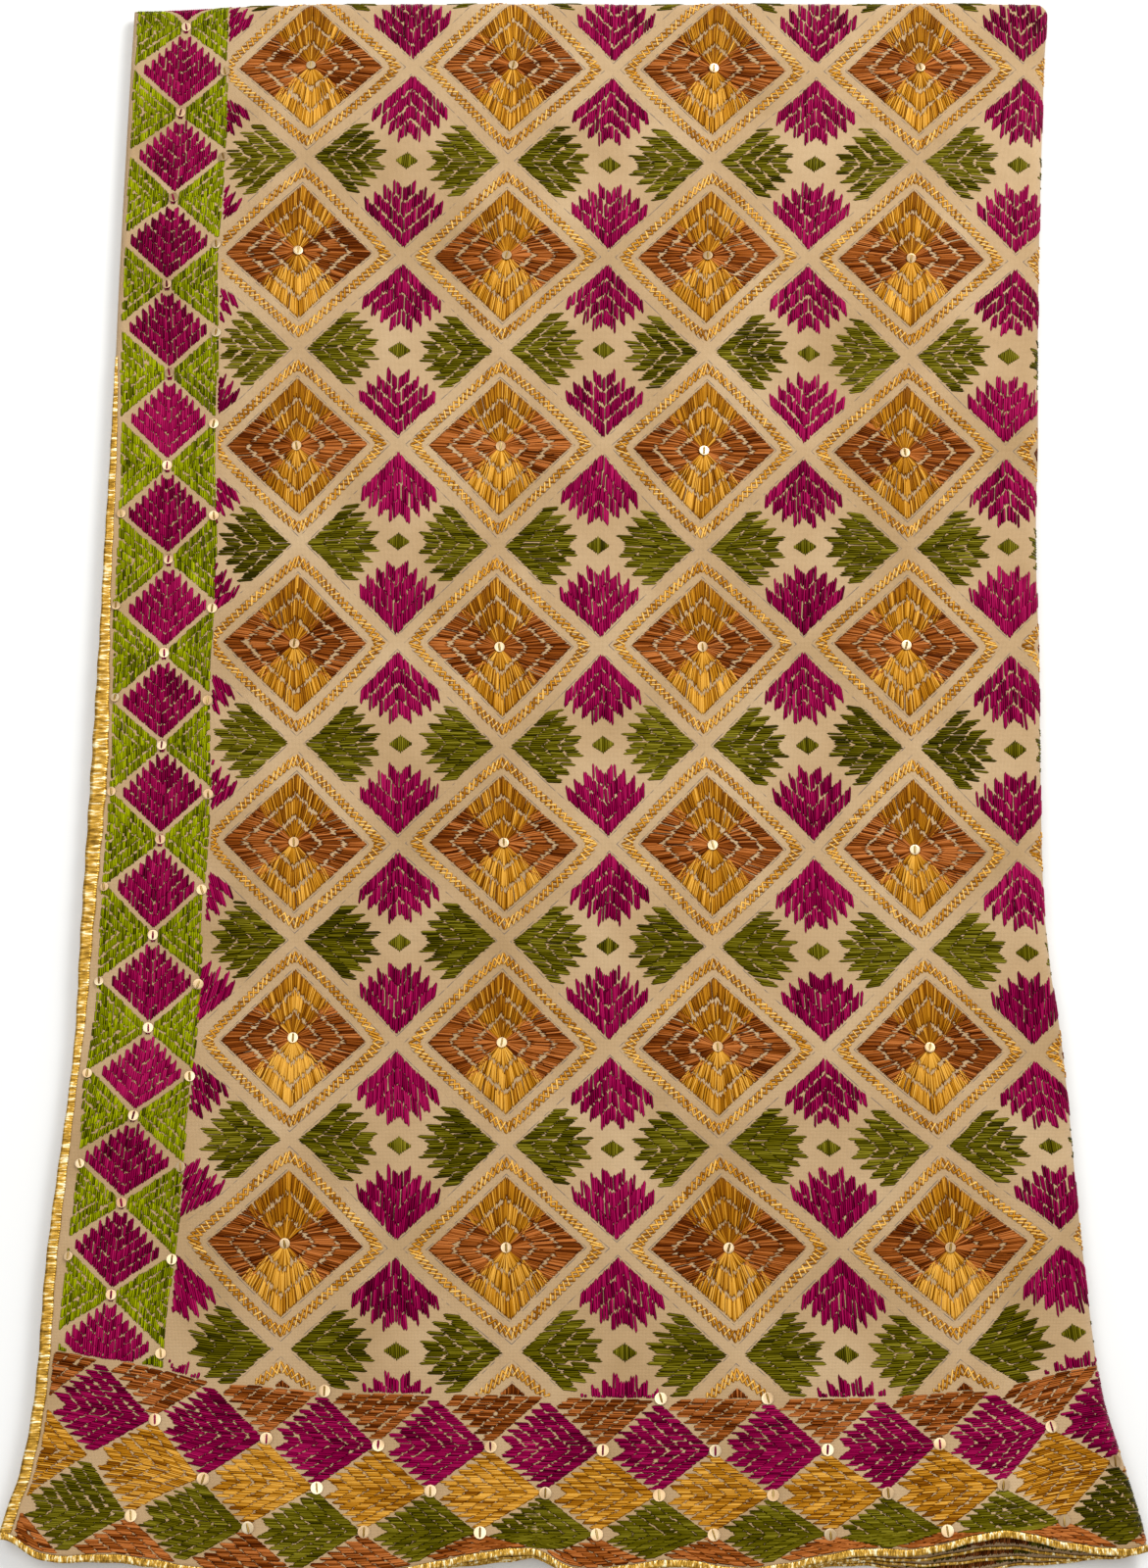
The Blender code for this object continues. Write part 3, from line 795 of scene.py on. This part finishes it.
def floss_silk(name, dark, middle, bright):
    """Untwisted floss silk: the eye sees a soft gloss, a tone of its own on every stitch, and clouds
    of lighter and darker dye about 26 mm across. Its tone attribute also carries painted shade and
    painted highlight: darker sides and tips and a lighter crest on every stitch, and painted shade
    and sheen on the kites of the diamonds."""
    material, tree, shader = blank_material(name)
    tone = node(tree, "Attribute", {"attribute_name": "tone"})
    place = node(tree, "TexCoord")
    cloud = node(tree, "TexNoise", {"Scale": 38.0, "Detail": 2.0}, {"Vector": place.outputs["Object"]})
    mixed = node(
        tree, "Math", {"operation": "MULTIPLY_ADD", 1: 0.55, 2: -0.27},
        {0: cloud.outputs["Fac"]},
    )
    total = node(
        tree, "Math", {"operation": "ADD", "use_clamp": True},
        {0: tone.outputs["Fac"], 1: mixed.outputs[0]},
    )
    colour = node(
        tree, "ValToRGB", links={"Fac": total.outputs[0]},
        stops=((0.12, dark), (0.5, middle), (0.92, bright)),
    )
    tree.links.new(colour.outputs["Color"], shader.inputs["Base Color"])
    shader.inputs["Roughness"].default_value = 0.42
    shader.inputs["Specular Tint"].default_value = srgb(bright)
    shader.inputs["Specular IOR Level"].default_value = 0.42
    return material


INK_AND_SHADE_RADII = (0.4640, 0.4080, 0.3615)   # of the lines round each diamond, ink with painted shade along the stitches' edges, in p and q
INK_AND_SHADE_NEXT_RADIUS = 0.4680               # of the line round the cells between the diamonds
INK_AND_SHADE_HALF_WIDTH = 0.0027                # 0.3 mm


def ink_and_shade_lines(tree):
    """Grey-blue lines round the diamonds: the ink that the stitches were laid to, darkened with painted
    shade along the stitches' edges, worn away in patches about 4 mm across.
    """
    found = node(tree, "Attribute", {"attribute_name": "chart"})
    parts = node(tree, "SeparateXYZ", links={"Vector": found.outputs["Vector"]})
    sums = []
    for shift in (0.0, 0.5):
        sides = []
        for axis in ("X", "Y"):
            moved = node(tree, "Math", {"operation": "ADD", 1: shift}, {0: parts.outputs[axis]})
            nearest = node(tree, "Math", {"operation": "ROUND"}, {0: moved.outputs[0]})
            apart = node(
                tree, "Math", {"operation": "SUBTRACT"},
                {0: moved.outputs[0], 1: nearest.outputs[0]},
            )
            sides.append(node(tree, "Math", {"operation": "ABSOLUTE"}, {0: apart.outputs[0]}))
        sums.append(node(
            tree, "Math", {"operation": "ADD"},
            {0: sides[0].outputs[0], 1: sides[1].outputs[0]},
        ))
    lines = [(sums[0], radius) for radius in INK_AND_SHADE_RADII] + [(sums[1], INK_AND_SHADE_NEXT_RADIUS)]
    total = None
    for measure, radius in lines:
        line = node(
            tree, "Math", {"operation": "COMPARE", 1: radius, 2: INK_AND_SHADE_HALF_WIDTH},
            {0: measure.outputs[0]},
        )
        total = line if total is None else node(
            tree, "Math", {"operation": "MAXIMUM"},
            {0: total.outputs[0], 1: line.outputs[0]},
        )
    place = node(tree, "TexCoord")
    worn = node(tree, "TexNoise", {"Scale": 240.0, "Detail": 1.0}, {"Vector": place.outputs["Object"]})
    kept = node(
        tree, "MapRange", {"From Min": 0.42, "From Max": 0.58, "To Max": 0.85},
        {"Value": worn.outputs["Fac"]},
    )
    inside = node(
        tree, "Math", {"operation": "MULTIPLY", "use_clamp": True},
        {0: parts.outputs["Z"], 1: kept.outputs["Result"]},
    )
    ink_and_shade_mask = node(tree, "Math", {"operation": "MULTIPLY"}, {0: total.outputs[0], 1: inside.outputs[0]})
    return ink_and_shade_mask.outputs[0]


# Between the threads of the drawn weave. The real ones lie about 0.35 mm apart, too fine to show.
DRAWN_WEAVE = 0.0006915


def tan_cotton():
    """Plain-woven undyed cotton: the eye sees a matt, slightly dusty face, clouds of tan about 60 mm
    across, a thread-like grain, and puckers about 8 mm across where the stitches pull at it."""
    material, tree, shader = blank_material("tan_cotton")
    place = node(tree, "TexCoord")
    cloud = node(tree, "TexNoise", {"Scale": 16.0, "Detail": 4.0}, {"Vector": place.outputs["Object"]})
    colour = node(
        tree, "ValToRGB", links={"Fac": cloud.outputs["Fac"]},
        stops=((0.3, "#C0A074"), (0.5, "#D0B086"), (0.72, "#DDC098")),
    )
    waves = []
    for axis in ("X", "Y"):
        wave = node(
            tree, "TexWave",
            {"bands_direction": axis, "Scale": math.pi / 10 / DRAWN_WEAVE, "Distortion": 1.2,
             "Detail": 2.0, "Detail Scale": 2.0},
            {"Vector": place.outputs["Object"]},
        )
        waves.append(wave.outputs["Fac"])
    weave = node(tree, "Math", {"operation": "MULTIPLY"}, {0: waves[0], 1: waves[1]})
    shade = node(tree, "Mix", {"data_type": "RGBA", "blend_type": "MULTIPLY"})
    tint = node(
        tree, "ValToRGB", links={"Fac": weave.outputs[0]},
        stops=((0.0, "#D2C8B6"), (1.0, "#FFFFFF")),
    )
    shade.inputs[0].default_value = 0.7
    tree.links.new(colour.outputs["Color"], shade.inputs[6])
    tree.links.new(tint.outputs["Color"], shade.inputs[7])
    ink_and_shade = ink_and_shade_lines(tree)
    inked_and_shaded = node(tree, "Mix", {"data_type": "RGBA"}, {0: ink_and_shade, 6: shade.outputs[2]})
    # Their grey: ink, with painted shade where the stitches' edges stand over the cotton.
    inked_and_shaded.inputs[7].default_value = srgb("#625C5A")
    tree.links.new(inked_and_shaded.outputs[2], shader.inputs["Base Color"])
    pulled = node(tree, "TexNoise", {"Scale": 120.0, "Detail": 3.0}, {"Vector": place.outputs["Object"]})
    puckered = node(
        tree, "Bump", {"Strength": 0.75, "Distance": 0.0012},
        {"Height": pulled.outputs["Fac"]},
    )
    bump = node(
        tree, "Bump", {"Strength": 0.65, "Distance": 0.0004},
        {"Height": weave.outputs[0], "Normal": puckered.outputs["Normal"]},
    )
    tree.links.new(bump.outputs["Normal"], shader.inputs["Normal"])
    shader.inputs["Roughness"].default_value = 0.9
    shader.inputs["Sheen Weight"].default_value = 0.2
    shader.inputs["Specular IOR Level"].default_value = 0.25
    return material


def gold_lace_metal(name, squeeze):
    """Gilt ribbon lace, pressed into crinkles: painted glints and painted shade in its colour, bright
    and dark spots 1.6 mm apart, drawn out across the ribbon by squeeze."""
    material, tree, shader = blank_material(name)
    place = node(tree, "TexCoord")
    across = node(
        tree, "Mapping", {"vector_type": "POINT", "Scale": squeeze},
        {"Vector": place.outputs["Object"]},
    )
    cloud = node(tree, "TexNoise", {"Scale": 620.0, "Detail": 2.0}, {"Vector": across.outputs["Vector"]})
    # Dark gold for painted shade in the crinkles, up to near-white for painted glints.
    colour = node(
        tree, "ValToRGB", links={"Fac": cloud.outputs["Fac"]},
        stops=((0.30, "#7E5A14"), (0.46, "#B88A2C"), (0.56, "#DCAE4C"), (0.64, "#FFF2C4")),
    )
    tree.links.new(colour.outputs["Color"], shader.inputs["Base Color"])
    rough = node(tree, "MapRange", {"To Min": 0.22, "To Max": 0.5}, {"Value": cloud.outputs["Fac"]})
    crinkle = node(tree, "Bump", {"Strength": 0.8, "Distance": 0.0005}, {"Height": cloud.outputs["Fac"]})
    tree.links.new(crinkle.outputs["Normal"], shader.inputs["Normal"])
    tree.links.new(rough.outputs["Result"], shader.inputs["Roughness"])
    shader.inputs["Metallic"].default_value = 0.8
    return material


def sequin_metal():
    """Punched gilt film: small pale discs, some painted brighter than others as reflection, from tan to
    pale cream.
    """
    material, tree, shader = blank_material("pale_gilt_sequin")
    place = node(tree, "TexCoord")
    cloud = node(tree, "TexNoise", {"Scale": 60.0}, {"Vector": place.outputs["Object"]})
    # Tan to pale cream across the discs: painted reflection, on top of their real random tilt.
    colour = node(
        tree, "ValToRGB", links={"Fac": cloud.outputs["Fac"]},
        stops=((0.3, "#A8865E"), (0.5, "#CDAE84"), (0.7, "#EBD8B4")),
    )
    tree.links.new(colour.outputs["Color"], shader.inputs["Base Color"])
    shader.inputs["Roughness"].default_value = 0.32
    shader.inputs["Metallic"].default_value = 0.7
    return material


GRID_ACROSS, GRID_ALONG = 136, 214


def chart(s, t):
    """p and q of the field's chart, and how far inside the field, for the lines of ink and painted shade
    on the cotton.
    """
    x, y = top_chart(s, t)
    q = (row_at(0, "y") - y) / CELL
    for _ in range(4):
        q = q + (row_at(q, "y") + row_at(q, "skew") * 0.5 - y) / CELL
    p = (x - row_at(q, "first")) / row_at(q, "pitch")
    for _ in range(4):
        at_x, at_y = field(p, q)
        p, q = p - (at_x - x) / CELL, q + (at_y - y) / CELL
    return np.stack([p, q, np.clip(in_field(x, y) * 100, -1, 1)], axis=1)


def points_of(mesh):
    found = np.empty(len(mesh.vertices) * 3)
    mesh.vertices.foreach_get("co", found)
    return found.reshape(-1, 3)


def placed_grid(name, across, along, place, surface=None):
    """A grid primitive with its points put in place, and what surface gives kept on each of them."""
    bpy.ops.object.select_all(action="DESELECT")
    bpy.ops.mesh.primitive_grid_add(x_subdivisions=across, y_subdivisions=along, size=1)
    obj = bpy.context.object
    obj.name = obj.data.name = name
    mesh = obj.data
    s, t = points_of(mesh)[:, :2].T + 0.5
    if surface:
        layer = mesh.attributes.new("chart", "FLOAT_VECTOR", "POINT")
        layer.data.foreach_set("vector", surface(s, t).ravel())
    mesh.vertices.foreach_set("co", place(s, t).ravel())
    mesh.update()
    while mesh.uv_layers:
        mesh.uv_layers.remove(mesh.uv_layers[0])
    return obj, mesh


def grid_sheet(name, across, along, place, material, wall, surface=None):
    """A sheet from a grid, with its wall and its bake map."""
    obj, mesh = placed_grid(name, across, along, place, surface)
    solidify = obj.modifiers.new("wall", "SOLIDIFY")
    solidify.thickness = wall
    solidify.offset = -1
    bpy.ops.object.modifier_apply(modifier=solidify.name)
    mesh.shade_smooth()
    corners = np.empty(len(mesh.loops), np.int32)
    mesh.loops.foreach_get("vertex_index", corners)
    plan = mesh.uv_layers.new(name="OFBake")
    plan.data.foreach_set("uv", plan_map(points_of(mesh))[corners].astype(np.float32).ravel())
    mesh.materials.append(material)
    return obj


CURL_SHARE = 0.93        # of the grid's columns lie left of the right fold
NOSE_SHARE = 0.94        # of its rows lie before the top fold


def top_chart(s, t):
    """x and y on the top layer, from its hem, t = 0, to its end under the top fold."""
    axis = NOSE_AXIS - MIDDLE_Y
    nose = NOSE_ROUND * math.radians(NOSE_TURN) * np.maximum(t - NOSE_SHARE, 0) / (1 - NOSE_SHARE)
    flat_t = np.minimum(t / NOSE_SHARE, 1)
    y = CORE_FRONT + (axis - CORE_FRONT) * flat_t
    for _ in range(4):
        left = outline(y, "left")
        start = outline(y, "right") - SIDE_CURL
        x = left + (start - left) * np.minimum(s / CURL_SHARE, 1)
        x = x + CURL_LENGTH * np.maximum(s - CURL_SHARE, 0) / (1 - CURL_SHARE)
        low = hem_line(x)
        y = low + (axis - low) * flat_t
    return x, y + nose


def top_place(s, t):
    return on_cloth(*top_chart(s, t))[0]


PLEAT = 0.0013           # between the lace's crinkles
PLEAT_HEIGHT = 0.00022
LACE_ROWS = 4
LACE_WALL = 0.00016


def lace_strip(name, length, place, material, width=LACE_WIDTH, rows=LACE_ROWS, steps=4):
    """A crinkled gilt ribbon. place gives its points from how far along, 0 to 1, and how far in."""
    pleats = round(length / PLEAT)

    def points(s, t):
        crinkle = np.sin(t * pleats * math.tau + 0.6 * np.sin(s * 9 + t * 60))
        fine = np.sin(t * pleats * 2.63 + s * 4) * 0.5
        rise = 0.00045 + PLEAT_HEIGHT * (crinkle + fine) * (0.6 + 0.4 * np.sin(s * math.pi))
        inwards = s * width - LACE_OVERHANG + 0.0002 * np.sin(t * 190)
        return place(t, inwards, rise)

    return grid_sheet(name, rows, pleats * steps, points, material, LACE_WALL)


def side_lace_place(t, inwards, rise):
    low = hem(section(-0.41, "left"), "reach") - MIDDLE_Y + LACE_WIDTH * 0.35
    y = low + (EDGE_TOP_OF_LACE - low) * t
    share = left_edge(y, "lace") / LACE_WIDTH
    x = outline(y, "left") + (inwards + LACE_OVERHANG) * share
    x = x - LACE_OVERHANG * np.minimum(share, 1)
    return place_on_cloth(x, y, rise)


def end_lace_place(t, inwards, rise):
    left, right = section(-0.425, "left"), section(-0.425, "right") - SIDE_CURL + CURL_LENGTH
    x = left + (right - 0.0005 - left) * t - MIDDLE_X
    y = hem_line(x) + inwards
    return place_on_cloth(x, y, rise)


# The loose hems under the top one. below: layers under it. spread: its share of the hem's waves.
# back: how far behind the top hem it lies. shift: of its own waves along the hem.
# beyond: its share of how far the hems show under the top one.
LAYER_COLUMNS = ("name", "below", "spread", "back", "shift", "beyond")
LOWER_LAYERS = (
    ("second", 2, 0.42, 0.0000, 0.000, 0.40),
    ("third", 1, 0.16, 0.0011, 0.009, 0.88),
    ("fourth", 0, 0.00, 0.0022, 0.019, 1.36),
)
LAYER_WALL = 0.0016      # one layer of the stack, with its stitches


def lower_reach(layer, x):
    shown = hem(x + layer["shift"] * 0.5, "under") * layer["beyond"]
    reach = hem(x, "reach") - shown + layer["back"]
    return np.maximum(reach, HEM_BOTTOM)


def lower_height(layer, x, y, t):
    """Height of a lower layer's upper face at the tables' own places."""
    free = top_height(x, y) - 4 * LAYER_WALL
    ripple = 1 + 0.16 * np.sin(31 * (x + layer["shift"]) + 2) * t
    return layer["below"] * LAYER_WALL + free * layer["spread"] * ripple + LAYER_WALL


def lower_place(layer, s, t, extra=0.0, rise=0.0):
    """A point of a loose lower hem: s from left to right, t from the core's front to the hem."""
    start = CORE_FRONT - 0.0003
    y = start + 0 * s
    for _ in range(4):
        left, right = section(y, "left"), section(y, "right") - SIDE_CURL
        x = left + (right - left) * s
        y = start + (lower_reach(layer, x) - start) * t + extra
    z = lower_height(layer, x, y, t) + rise
    return np.stack([x - MIDDLE_X, y - MIDDLE_Y, z], axis=1)


def lower_layers(cotton, gilt):
    """The loose hems of the lower layers, each with its lace and its outer stitches."""
    for row in LOWER_LAYERS:
        layer = dict(zip(LAYER_COLUMNS, row))
        sheet = grid_sheet(
            layer["name"] + "_hem", 150, 26,
            lambda s, t: lower_place(layer, s, 1 - t), cotton, WALL + 0.0002,
        )
        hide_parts(layer["name"] + "_layer_end")
        dress(sheet)
        lace = lace_strip(
            layer["name"] + "_hem_lace", 0.55,
            lambda t, inwards, rise: lower_place(layer, t, 1 + 0 * t, inwards, rise), gilt,
            LOWER_LACE_WIDTH, 2, 3,
        )
        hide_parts(layer["name"] + "_lace")
        dress(lace)
        dress(hem_stitches(layer, "brown", HEM_BROWN))
        dress(hem_stitches(layer, "green", HEM_GREEN))


def hem_stitches(layer, kind, colours):
    """The outer rows of stitches on a loose lower hem, as far as they can be seen."""
    pitch = FLOSS_PITCH * 1.05
    x = np.arange(-0.268, 0.262, pitch)
    x = x + jitter(len(x), pitch * 0.1)
    green = np.sin(x / END_PITCH * math.tau + layer["shift"] * 90) > 0.15
    shown = green == (kind == "green")
    front = lower_reach(layer, x + MIDDLE_X) - MIDDLE_Y + 0.0013
    rows = []
    for k in range(3):
        near = front + k * 0.0066 + jitter(len(x), 0.0003)
        tone = np.clip(RANDOM.normal(0.45, 0.2, len(x)), 0, 1)
        width = FLOSS_WIDTH * RANDOM.uniform(0.9, 1.1, len(x))
        row = np.stack([x, near, x + 0.0010, near + 0.0068, tone, width], axis=1)
        rows.append(row[shown])

    def cloth(x, y, out=0.0):
        start = CORE_FRONT - 0.0003
        t = (y + MIDDLE_Y - start) / (lower_reach(layer, x + MIDDLE_X) - start)
        z = lower_height(layer, x + MIDDLE_X, y + MIDDLE_Y, t) + out
        return np.stack([x, y, z], axis=1), np.tile((0.0, 0.0, 1.0), (len(x), 1))

    points, faces, tones = threads(np.concatenate(rows), STRAIGHT_RINGS, 0.0, cloth)
    name = layer["name"] + "_hem_" + kind
    material = floss_silk(name + "_silk", *colours)
    return mesh_piece(name, points, faces, material, plan_map(points), tones)


LIP = 0.0013             # thickness of the folded layers' left edges
LIP_DEPTH = 0.022        # of the grooves between them
FOLD_ARC = 9             # points round the lower right fold
# A folded edge's section: how far in, and share of its thickness
LIP_SECTION = (
    (LIP_DEPTH, 0.0), (0.0006, 0.0), (0.0, 0.35), (0.0, 0.65), (0.0006, 1.0), (LIP_DEPTH, 1.0)
)


def lip_wobble(y):
    return 0.0008 * np.sin(y * 41) + 0.0006 * np.sin(y * 23 + 1) + 0.0003 * np.sin(y * 97)


def lips(y):
    """(how far in, height of its underside) of the three folded edges at the left, lowest first."""
    top = section(y, "edge") - LAYER_WALL - 0.0003
    middle = (top + LAYER_WALL) / 2
    wobble = lip_wobble(y)
    return (
        (0.0008 - wobble, 0.0 * y),
        (0.0030 + wobble, middle - LIP / 2),
        (0.0018 + wobble, top - LIP),
    )


def folded_ring(y):
    """(x, z) columns of the folded layers' closed section at each y, from the left over the top."""
    left, right = section(y, "left"), section(y, "right")
    columns = []
    for share in np.linspace(0, 1, 20):
        x = left + 0.004 + (right - SIDE_CURL - left - 0.004) * share
        columns.append((x, top_height(x, y) - LAYER_WALL - 0.0003))
    fold = right + section(y, "peek")
    radius = (MID_HEIGHT - 0.0010) / 2
    for turn in np.linspace(math.pi / 2, -math.pi / 2, FOLD_ARC):
        columns.append((
            fold - radius * 1.3 * (1 - math.cos(turn)), radius + radius * math.sin(turn) + 0 * y
        ))
    for share in np.linspace(0.02, 1, 12):
        columns.append((fold - 0.006 + (left + 0.024 - fold + 0.006) * share, 0 * y))
    for inset, low in lips(y):
        for into, rise in LIP_SECTION:
            columns.append((left + inset + into, low + LIP * rise))
    return columns[:-1]


def folded_place(s, t):
    """The folded layers' body: s runs round its section, t from the core's front to the top fold."""
    axis = NOSE_AXIS
    run = CORE_FRONT + (axis - CORE_FRONT) * np.minimum(t / 0.95, 1)
    over = math.radians(72) * np.maximum(t - 0.95, 0) / 0.05
    columns = folded_ring(run)
    around = len(columns)
    picked = np.round(s * around).astype(int) % around
    order = np.arange(len(s))
    x = np.array([c[0] for c in columns])[picked, order]
    z = np.array([c[1] for c in columns])[picked, order]
    inwards = np.minimum(x, section(run, "right") - SIDE_CURL)
    high = np.maximum(top_height(inwards, run) - 0.0075, 0.0002)
    up = np.maximum(z - MID_HEIGHT, -high - (MID_HEIGHT - high) * (np.cos(over) > 0.999))
    y = run + NOSE_STRETCH * high * np.sin(over)
    return np.stack([x - MIDDLE_X, y - MIDDLE_Y, MID_HEIGHT + up * np.cos(over)], axis=1)


def folded_layers(material):
    """The three hidden layers: their folds, and the layered edges at the left, as one closed body."""
    around = len(folded_ring(np.array([0.0])))
    obj, mesh = placed_grid("folded_layers", around, 130, folded_place)
    bpy.ops.object.mode_set(mode="EDIT")
    bpy.ops.mesh.select_all(action="SELECT")
    bpy.ops.mesh.remove_doubles(threshold=0.000001)
    bpy.ops.mesh.select_all(action="DESELECT")
    bpy.ops.mesh.select_non_manifold()
    bpy.ops.mesh.edge_face_add()
    bpy.ops.mesh.select_all(action="SELECT")
    bpy.ops.mesh.normals_make_consistent(inside=False)
    bpy.ops.object.mode_set(mode="OBJECT")
    mesh.shade_smooth()
    mesh.set_sharp_from_angle(angle=math.radians(60))
    mesh.materials.append(material)
    return obj


def lip_laces(material):
    """The lace on the lower layers' left edges."""
    for k, name in enumerate(("fourth", "third", "second")):
        def place(t, inwards, rise):
            y = CORE_FRONT + (EDGE_TOP_OF_LACE - CORE_FRONT) * t
            inset, low = lips(y)[k]
            x = section(y, "left") + inset + inwards * 0.8 + 0.0004
            return np.stack([x - MIDDLE_X, y - MIDDLE_Y, low + LIP + rise * 0.6], axis=1)
        dress(lace_strip(name + "_edge_lace", 0.56, place, material, LACE_WIDTH, 2, 3))


SEQUIN_RADIUS = 0.0027
OVER_SEQUIN = 0.0011     # from the cloth up to the thread over a sequin
# x of the sequins on the end border's top line
TOP_LINE_SEQUINS = (-0.2371, -0.1802, -0.1246, 0.0436, 0.0970)
SEQUIN_SIDES = 14
SEQUIN_PROFILE = ((0.08, 0.00042), (0.75, 0.00042), (1.0, 0.00036), (1.0, 0.00024), (0.08, 0.0002))


def sequin_places():
    """x, y and size of every sequin, and whether magenta thread holds it."""
    found = []
    for j in range(7):
        for i in range(4):
            found.append((*field(float(i), float(j)), 1.0, False))
    for m in range(-1, 14):
        joint = SIDE_START + SIDE_PITCH * m
        found.append((*side_place(0.0, joint + 0.004), 1.0, True))
        q = joint + SIDE_PITCH / 2 + 0.02
        x, y = field(row_at(q, "inner") - 0.012, q)
        found += [(x, y, 1.0, False), (left_of_stitches(y) + 0.001, y + 0.002, 0.9, False)]
    for x in TOP_LINE_SEQUINS:
        found.append((x, end_line(np.array([x]), 0.0)[0], 1.15, False))
    for k in range(10):
        for r, shift in ((1, 0.0), (2, 0.5), (3, 0.0)):
            x = END_START + END_PITCH * (k + shift)
            x += end_shift(r, x)
            found.append((x, end_line(np.array([x]), float(r))[0], 1.15, r == 1))
    places = np.array([[float(value) for value in row] for row in found])
    x, y = places[:, :2].T
    left, right = outline(y, "left"), outline(y, "right")
    in_side = x < left + 0.12
    keep = (x > left + 0.006) & (x < right - 0.004) & (y < NOSE_AXIS)
    keep &= (y > top_of_end_border(x) + 0.002) | ~in_side | (y < top_of_end_border(x) - 0.01)
    return places[keep]


def sequins(material):
    """Flat gilt discs, each held by a stitch across it."""
    places = sequin_places()
    x, y, size, _ = places.T
    radii = (SEQUIN_RADIUS * size)[:, None]
    middle, up = on_cloth(x, y, FLOSS_HEIGHT + 0.0002)
    up = up + RANDOM.normal(0, 0.10, up.shape)
    up /= np.linalg.norm(up, axis=1, keepdims=True)
    side = np.cross(up, np.array([0.3, 1.0, 0.0]))
    side /= np.linalg.norm(side, axis=1, keepdims=True)
    ahead = np.cross(up, side)
    turns = np.arange(SEQUIN_SIDES) / SEQUIN_SIDES * math.tau
    corners = []
    for turn in turns:
        across = side * math.cos(turn) + ahead * math.sin(turn)
        for radius, height in SEQUIN_PROFILE:
            corners.append(middle + across * radius * radii + up * height)
    points = np.stack(corners, axis=1).reshape(-1, 3)
    around, faces = len(SEQUIN_PROFILE), []
    for k in range(SEQUIN_SIDES):
        here, there = k * around, (k + 1) % SEQUIN_SIDES * around
        for i in range(around):
            n = (i + 1) % around
            faces.append((here + i, there + i, there + n))
            faces.append((here + i, there + n, here + n))
    faces = np.array(faces)
    step = SEQUIN_SIDES * around
    triangles = (np.arange(len(places))[:, None, None] * step + faces).reshape(-1, 3)
    for x, y, size, joint in places:
        silk = JOINT_THREAD if joint else THREAD
        lean = RANDOM.normal(0, 0.0004)
        reach = SEQUIN_RADIUS * size * 0.95
        silk.add([x - lean], [y + reach], [x + lean], [y - reach], width=0.0011)
    return mesh_piece("sequins", points, triangles, material, plan_map(points), smooth=False)


CAMERA_TILT = math.radians(15)   # off the shawl's normal
CAMERA_FAR = 1.6
CAMERA_TARGET = (0.0002, -0.0259, 0.0)
CAMERA_LENS = 69.08              # mm
# name, place, size, power of each lamp
LAMPS = (
    ("key", (1.0, 1.2, 1.38), 0.9, 28.5),
    ("fill", (-0.45, 0.1, 1.9), 1.6, 14.5),
)
SKY = 0.55                       # strength of the white light from all sides


def camera_and_light():
    """The photo's camera, and soft studio light from the upper right."""
    data = bpy.data.cameras.new("camera")
    data.lens = CAMERA_LENS
    camera = bpy.data.objects.new("camera", data)
    away = Vector((0, -math.sin(CAMERA_TILT), math.cos(CAMERA_TILT)))
    camera.location = Vector(CAMERA_TARGET) + CAMERA_FAR * away
    camera.rotation_euler = (CAMERA_TILT, 0, 0)
    bpy.context.scene.collection.objects.link(camera)
    bpy.context.scene.camera = camera
    for name, place, size, power in LAMPS:
        light = bpy.data.lights.new(name, "AREA")
        light.size = size
        light.energy = power
        lamp = bpy.data.objects.new(name, light)
        lamp.location = place
        lamp.rotation_euler = (-Vector(place)).to_track_quat("-Z", "Y").to_euler()
        bpy.context.scene.collection.objects.link(lamp)
    world = bpy.data.worlds.new("studio")
    world.use_nodes = True
    world.node_tree.nodes["Background"].inputs["Color"].default_value = (1, 1, 1, 1)
    world.node_tree.nodes["Background"].inputs["Strength"].default_value = SKY
    bpy.context.scene.world = world
    bpy.context.scene.view_settings.view_transform = "Standard"


def pale_floor():
    """White card under the shawl, 0.2 mm clear of it: the eye sees only a soft shadow on it."""
    bpy.ops.object.select_all(action="DESELECT")
    bpy.ops.mesh.primitive_plane_add(size=16, location=(0, 0, -0.0002))
    floor = bpy.context.object
    floor.name = "floor"
    material, tree, shader = blank_material("pale_paper")
    shader.inputs["Base Color"].default_value = srgb("#F2F2F0")
    shader.inputs["Roughness"].default_value = 0.95
    floor.data.materials.append(material)


def dress(piece):
    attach(piece, "root")


def main():
    camera_and_light()
    pale_floor()
    cotton = tan_cotton()
    cloth = grid_sheet("top_cloth", GRID_ACROSS, GRID_ALONG, top_place, cotton, WALL, chart)
    dress(cloth)
    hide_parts("top_layer")
    stitch_field()
    side_border()
    end_border()
    for silk in (MAGENTA, GREEN, LIME, GOLD, BRAID, BROWN):
        dress(floss_piece(silk))
    side_gilt = gold_lace_metal("gilt_side_lace", (0.22, 1.0, 1.0))
    hem_gilt = gold_lace_metal("gilt_hem_lace", (1.0, 0.4, 1.0))
    body = folded_layers(cotton)
    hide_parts("hidden_layers")
    dress(body)
    lip_laces(side_gilt)
    lower_layers(cotton, hem_gilt)
    for name, length, place in (
        ("side_lace", 0.645, side_lace_place), ("end_lace", 0.57, end_lace_place)
    ):
        width, gilt = (LACE_WIDTH, side_gilt) if name == "side_lace" else (HEM_LACE_WIDTH, hem_gilt)
        lace = lace_strip(name + "_ribbon", length, place, gilt, width)
        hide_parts(name)
        dress(lace)
    dress(sequins(sequin_metal()))
    for thread in (THREAD, JOINT_THREAD):
        dress(floss_piece(thread, OVER_SEQUIN))


main()
